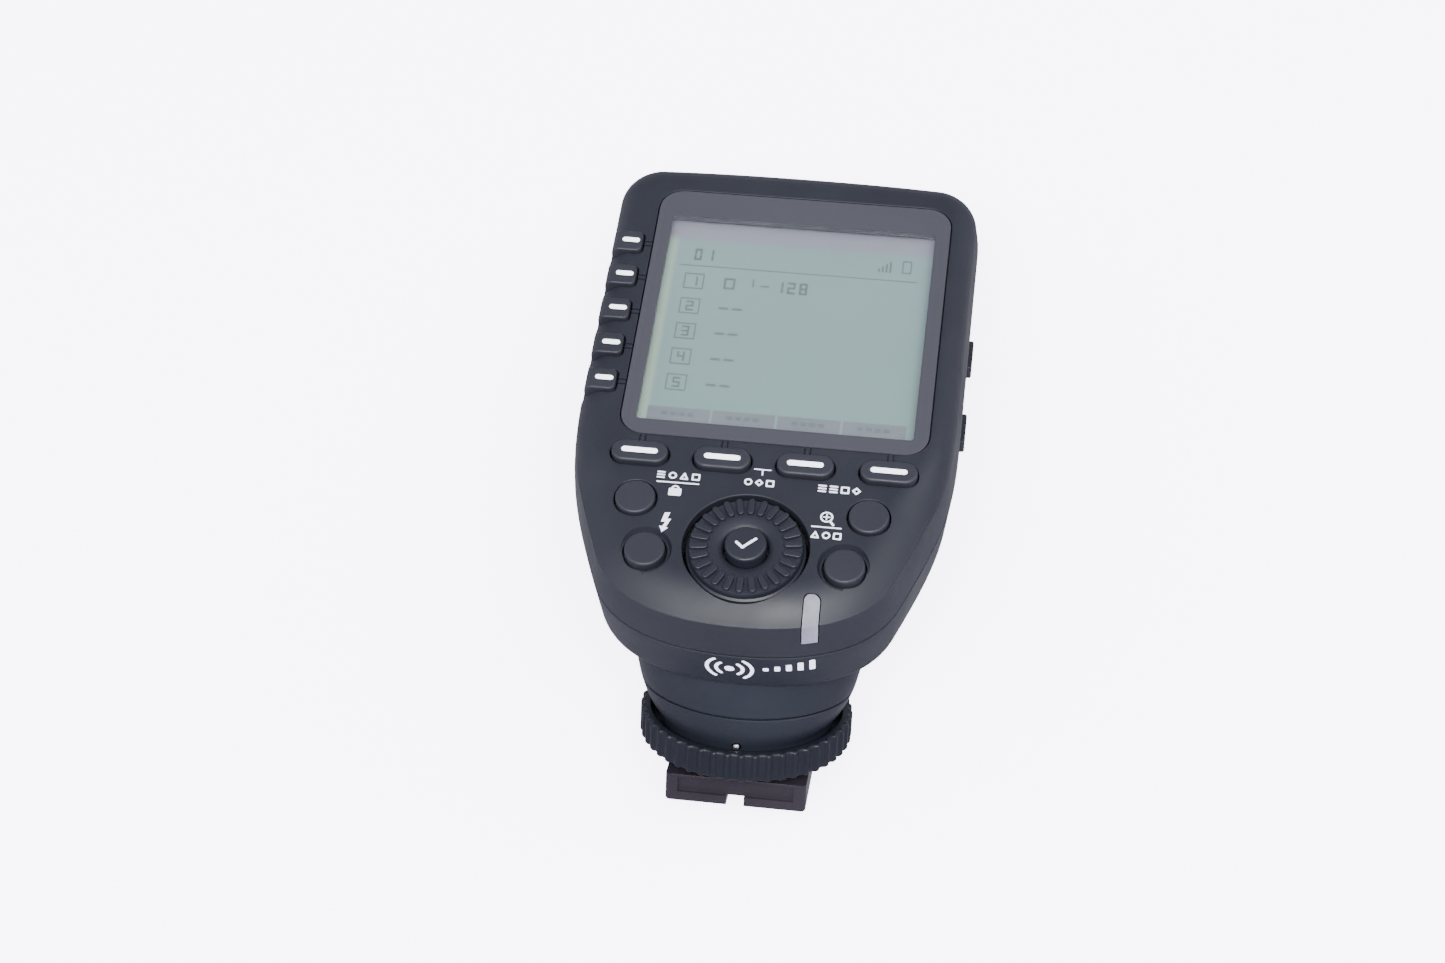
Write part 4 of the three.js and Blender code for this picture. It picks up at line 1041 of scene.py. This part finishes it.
def build_round_buttons():
    """Flanged caps with a rounded edge and a slightly domed top."""
    r, edge = BUTTON_RADIUS, BUTTON_EDGE
    flange = [(0, KEY_FLANGE_FLOOR), (BUTTON_FLANGE, KEY_FLANGE_FLOOR), (BUTTON_FLANGE, KEY_FLANGE_TOP)]
    for name, (x, y, top) in BUTTONS.items():
        profile = [*flange, (r, KEY_FLANGE_TOP)]
        profile += [(r + grow, z) for grow, z in quarter_round(-edge, edge, top, 6)]
        profile += [(r - 0.9, top + 0.03), (r - 1.8, top + 0.05), (0, top + 0.055)]
        cap = moved(turned(profile, 72), Matrix.Translation((x, y, 0)))
        finish_cap(cap, name)


def build_dial():
    """A dished wheel with rounded fins round its edge, and the domed key in its middle."""
    flange = [(DIAL_BORE, -2.6), (DIAL_FLANGE - 0.05, -2.6), (DIAL_FLANGE, -2.5), (DIAL_FLANGE, -1.3)]
    wall = [(DIAL_WALL, -1.1), (DIAL_WALL - 0.04, -0.35), (DIAL_WALL - 0.1, -0.1)]
    rim = [(8.28, 0.06), (8.1, 0.1), (7.6, 0.02), (6.6, 0.0), (5.8, 0.1), (5.4, 0.14)]
    dish = [(5.0, 0.08), (4.6, -0.02), (4.2, -0.14), (3.85, -0.28), (3.6, -0.45), (DIAL_BORE, -0.7)]
    wheel = turned(flange + wall + rim + dish, 130, ring_wise=True)
    outline = obround(FIN_LENGTH, FIN_WIDTH, FIN_MIDDLE, 0, 10)
    levels = [(0, -0.9), (0, 0.44), (-0.03, 0.54), (-0.08, 0.6), (-0.16, 0.63), (-0.26, 0.64)]
    for i in range(DIAL_FINS):
        fin = stack(outline, levels)
        join(wheel, moved(fin, Matrix.Rotation((i + 0.5) * TAU / DIAL_FINS, 4, "Z")))
    finish_piece(
        wheel, "dial_ring", "dial_wheel", "key_plastic", DIAL_PLASTIC, replaces=["dial_wheel"], angle=40,
    )
    r = SET_RADIUS
    stem = [(0, -2.5), (SET_STEM, -2.5), (SET_STEM, -2), (r, -2), (r, 0.55)]
    dome = [(r - 0.05, 0.75), (r - 0.2, 0.9), (r - 0.45, 0.97), (r - 0.9, 1.0), (0, 1.01)]
    cap = turned(stem + dome, 72)
    finish_piece(cap, "set_cap", "set_button", "key_plastic", DIAL_PLASTIC, replaces=["set_button"])


def build_switch_knobs():
    """Grooved sliders in the right flank, each on a short stem."""
    for name, y in SWITCHES.items():
        knob = block((29.1, 30.12), around(y, 2.85), around(SWITCH_Z, 1.4))
        rounded(knob, 0.3)
        for k in range(-2, 3):
            cut(knob, block((29.8, 31), around(y + 0.9 * k, 0.15), around(SWITCH_Z, 2)))
        join(knob, block((26.3, 29.4), around(y, 1.2), around(SWITCH_Z, 0.8)))
        body = f"{name}_knob"
        finish_piece(knob, f"{name}_slider", body, "key_plastic", replaces=[body])


# ---- neck, ring and foot


REARWARD = Matrix.Translation((0, 0, PIN_Z)) @ LAID_DOWN


def build_collar():
    """The lower half of the neck, with a tongue that closes the parting gap from inside."""
    collar = neck_solid(-2, NECK_SPLIT - PARTING_GAP / 2, soft=0.12, steps=16)
    join(collar, neck_solid(NECK_SPLIT - 2, NECK_SPLIT + PARTING_GAP / 2 - 0.02, 0.5, steps=6))
    cut(
        collar,
        neck_solid(-0.4, 6, 1.8, steps=6),
        prism(circle(5.3)(), -5, 5),
        moved(prism(circle(PIN_HOLE, sides=32)(), 12.6, 15), REARWARD),
    )
    finish_piece(collar, "neck_ring", "case", "casing", REAR, SHOE, replaces=["neck_collar"])


def ribbed_outline(depth, sides_per_rib=12):
    """The ring's edge: wide flutes with narrow ridges between them."""
    def outline(grow=0.0):
        points = []
        count = RING_RIBS * sides_per_rib
        for i in range(count):
            phase = (i / sides_per_rib) % 1
            flute = float(smoothstep(abs(phase - 0.5), 0.08, 0.3))
            radius = RING_RADIUS + grow - depth * flute
            points.append((radius * math.cos(TAU * i / count), radius * math.sin(TAU * i / count)))
        return points
    return outline


def build_ring():
    """The knurled ring, hollowed on its upper side, with rounded edges."""
    low, cup_floor = -RING_THICK, RING_CUP_FLOOR
    lower_edge = [(-0.75, low), (-0.3, low + 0.12), (-0.05, low + 0.4), (0, low + 0.6)]
    upper_edge = [(0, -0.5), (-0.06, -0.25), (-0.25, -0.06), (-0.5, 0)]
    ring = stack(ribbed_outline(RING_FLUTE), lower_edge + upper_edge)
    hollow = [(-0.3, cup_floor), (0, cup_floor + 0.3), (0, -0.3), (0.08, -0.1), (0.3, 0), (0.3, 2)]
    cut(ring, stack(circle(RING_CUP, sides=160), hollow), prism(circle(RING_BORE)(), -9, 3))
    body = "locking_ring"
    finish_piece(ring, "ribbed_ring", body, "ring_plastic", placement=SHOE, replaces=[body], angle=38)


def build_foot_cap():
    """The slip-on cover: a tray with lips over the foot's rails, a slot and a sunk panel at its rear."""
    middle = (CAP_REAR + CAP_FRONT) / 2
    outer = rounded_rectangle(CAP_WIDTH, CAP_FRONT - CAP_REAR, 0.8, 0, middle)
    lower_edge = [(-0.25, CAP_BOTTOM), (-0.07, CAP_BOTTOM + 0.07), (0, CAP_BOTTOM + 0.25)]
    upper_edge = [(0, CAP_LIP_TOP - 0.2), (-0.06, CAP_LIP_TOP - 0.06), (-0.2, CAP_LIP_TOP)]
    cap = stack(outer, lower_edge + upper_edge)
    half, slot = FOOT_WIDTH / 2 + FOOT_GAP, CAP_SLOT_WIDTH / 2
    floor = CAP_BOTTOM + CAP_WALL
    run = (CAP_REAR + CAP_WALL, CAP_FRONT + 2)
    cut(
        cap,
        block((-half, half), run, (floor, FOOT_TOP + FOOT_GAP)),
        block((-CAP_LIP_HALF, CAP_LIP_HALF), run, (floor, 0)),
        block((-slot, slot), (CAP_REAR - 1, CAP_REAR + CAP_SLOT_DEPTH), (CAP_BOTTOM - 1, CAP_SILL)),
        block((-CAP_PANEL_HALF, CAP_PANEL_HALF), (CAP_REAR - 1, CAP_REAR + 0.5), (CAP_SILL, -7.1)),
        block((-20, 20), (CAP_FRONT - 0.9, CAP_FRONT + 1), (floor, CAP_LIP_TOP + 1)),
    )
    finish_piece(cap, "shoe_cover", "foot_cap", "cap_plastic", placement=SHOE, replaces=["foot_cap"])


def build_stop_pin():
    """The bright pin in the neck's rear, level with the ring's upper side."""
    pin = stack(circle(PIN_RADIUS, sides=32), [(0, 12.9), (0, 14.15), (-0.1, 14.3), (-0.3, 14.38)])
    moved(pin, REARWARD)
    finish_piece(pin, "stop_pin", "case", "steel", placement=SHOE, replaces=["ring_stop_pin"])


# ---- printed pictograms


def stroke(x0, y0, x1, y1, width):
    """A short printed line with round ends, as a flat outline."""
    length = math.hypot(x1 - x0, y1 - y0)
    turn = math.atan2(y1 - y0, x1 - x0)
    loop = obround(length + width, width, 0, 0, 6)()
    mx, my = (x0 + x1) / 2, (y0 + y1) / 2
    c, s = math.cos(turn), math.sin(turn)
    return [(mx + c * x - s * y, my + s * x + c * y) for x, y in loop]


def polyline(points, width, closed=False):
    ends = points[1:] + ([points[0]] if closed else [])
    return [stroke(*a, *b, width) for a, b in zip(points, ends)]


def ring_lines(x, y, radius, width, start=0, end=360, steps=14):
    """A printed arc, from start to end in degrees."""
    return polyline(arc(x, y, radius, start, end, steps), width)


GLYPH_CORNERS = {
    "square": ((-1, -1), (1, -1), (1, 1), (-1, 1)),
    "triangle": ((-1, -1), (1, -1), (0, 1)),
    "diamond": ((-1, 0), (0, -1), (1, 0), (0, 1)),
}


def glyphs(kinds, x, y, size, gap, width):
    """A row of plain shapes: ring, lines (three of them), or one of GLYPH_CORNERS."""
    loops = []
    reach = (size - width) / 2
    for kind in kinds.split():
        middle = x + size / 2
        if kind == "ring":
            loops += ring_lines(middle, y, reach, width)
        elif kind == "lines":
            for k in (-reach, 0, reach):
                loops.append(stroke(middle - reach, y + k, middle + reach, y + k, width))
        else:
            corners = [(middle + reach * u, y + reach * v) for u, v in GLYPH_CORNERS[kind]]
            loops += polyline(corners, width, closed=True)
        x += size + gap
    return loops


def printed(name, loops, low, high, body, slot, skin=None, turn=None):
    """Joins printed lines into one thin piece, laid on a surface where a skin is given."""
    whole = None
    for loop in loops:
        part = prism(loop, low, high)
        if turn is not None:
            moved(part, turn)
        whole = part if whole is None else join(whole, part)
    if skin is not None:
        keep(whole, skin)
    finish_piece(whole, name, body, slot, WHITE_PRINT)


def build_face_prints():
    """Plain shapes by the buttons, a padlock, a bolt, a magnifier, and a tick on the centre button."""
    mode = glyphs("lines ring triangle square", -14.8, 11.75, 1.25, 0.5, 0.27)
    mode.append(stroke(-14.6, 10.45, -8.4, 10.5, 0.22))
    lock = [rounded_rectangle(1.9, 1.35, 0.2, -11.7, 8.75)()]
    lock += ring_lines(-11.7, 9.35, 0.5, 0.26, 0, 180, 8)
    bolt = [
        (-11.85, 4.95), (-12.65, 4.85), (-13.0, 3.15), (-12.35, 3.2), (-12.7, 2.35), (-13.15, 2.4),
        (-12.65, 1.3), (-11.8, 2.15), (-12.2, 2.25), (-11.55, 3.8), (-12.15, 3.75),
    ]
    reset = glyphs("ring diamond square", -1.7, 11.75, 1.25, 0.38, 0.27)
    reset += [stroke(-0.4, 14.2, 2.0, 14.2, 0.2), stroke(0.85, 14.2, 0.85, 13.2, 0.2)]
    menu = glyphs("lines lines square diamond", 9.35, 11.7, 1.3, 0.4, 0.28)
    zoom = ring_lines(11.2, 6.55, 0.85, 0.26)
    zoom.append(stroke(11.75, 5.85, 12.3, 5.2, 0.34))
    zoom += [stroke(10.75, 6.55, 11.65, 6.55, 0.2), stroke(11.2, 6.1, 11.2, 7.0, 0.2)]
    zoom.append(stroke(9.2, 4.7, 13.5, 4.7, 0.22))
    zoom += glyphs("triangle ring square", 9.2, 3.25, 1.25, 0.38, 0.27)
    prints = {"mode": mode, "lock": lock, "bolt": [bolt[::-1]], "reset": reset, "menu": menu, "zoom": zoom}
    for name, loops in prints.items():
        printed(f"print_{name}", loops, PRINT_FLOOR, PRINT_TOP, "case", "casing")
    tick = polyline([(-1.35, 0.0), (-0.4, -0.85), (1.4, 0.85)], 0.42)
    printed("print_set", tick, 0.9, 1.03, "set_button", "key_plastic")


def build_skirt_mark():
    """A plain broadcast sign and a row of rising bars, laid on the skirt below the parting line."""
    x, y = -1.2, -13.6
    loops = [circle(0.75, x, y, 24)()]
    for reach in (2.0, 3.4):
        for start in (-50, 130):
            loops += ring_lines(x, y, reach, 0.55, start, start + 100, 8)
    for k in range(5):
        loops.append(rounded_rectangle(0.85, 0.9 + 0.5 * k, 0.2, 4.2 + 1.7 * k, -13.2 + 0.25 * k, 4)())
    skin = loft(rear_rings(grow=0.03))
    printed("print_mark", loops, 9.6, 16, "case", "casing", skin, LAID_DOWN)


# ---- floor, light and the rest of the stage


def build_floor():
    """A pale table that glows a little, as a lit white sweep does, and isn't mirrored in the plastic."""
    half = FLOOR_HALF
    corners = [(-half, -half, 0), (half, -half, 0), (half, half, 0), (-half, half, 0)]
    floor = new_object(corners, [(0, 1, 2, 3)], "floor")
    material, tree, shader = nodes_of("pale_floor")
    fill(tree, shader, {
        "Base Color": (*FLOOR_COLOR, 1),
        "Roughness": 0.7,
        "Specular IOR Level": 0.2,
        "Emission Color": (*FLOOR_COLOR, 1),
        "Emission Strength": FLOOR_GLOW,
    })
    floor.data.materials.append(material)
    floor.visible_glossy = False


def build_world():
    world = bpy.data.worlds.new("studio")
    world.use_nodes = True
    background = next(node for node in world.node_tree.nodes if node.type == "BACKGROUND")
    fill(world.node_tree, background, {"Color": (*WORLD_COLOR, 1), "Strength": WORLD_GLOW})
    bpy.context.scene.world = world


def area_light(name, place, size, power):
    """A soft box that looks at the middle of the part."""
    data = bpy.data.lights.new(name, "AREA")
    data.shape = "RECTANGLE"
    data.size, data.size_y = size
    data.energy = power
    light = bpy.data.objects.new(name, data)
    bpy.context.scene.collection.objects.link(light)
    light.location = place
    light.rotation_euler = (Vector(LIGHT_AIM) - Vector(place)).to_track_quat("-Z", "Y").to_euler()


def build_lights():
    for light in LIGHTS:
        area_light(*light)


build_front_shell()
build_status_lamp()
build_rear_shell()
build_battery_door()
build_sockets()
build_case_screws()
build_screen()
build_display_marks()
build_soft_keys()
build_group_keys()
build_round_buttons()
build_dial()
build_switch_knobs()
build_collar()
build_ring()
build_foot_cap()
build_stop_pin()
build_face_prints()
build_skirt_mark()
build_floor()
build_world()
build_lights()
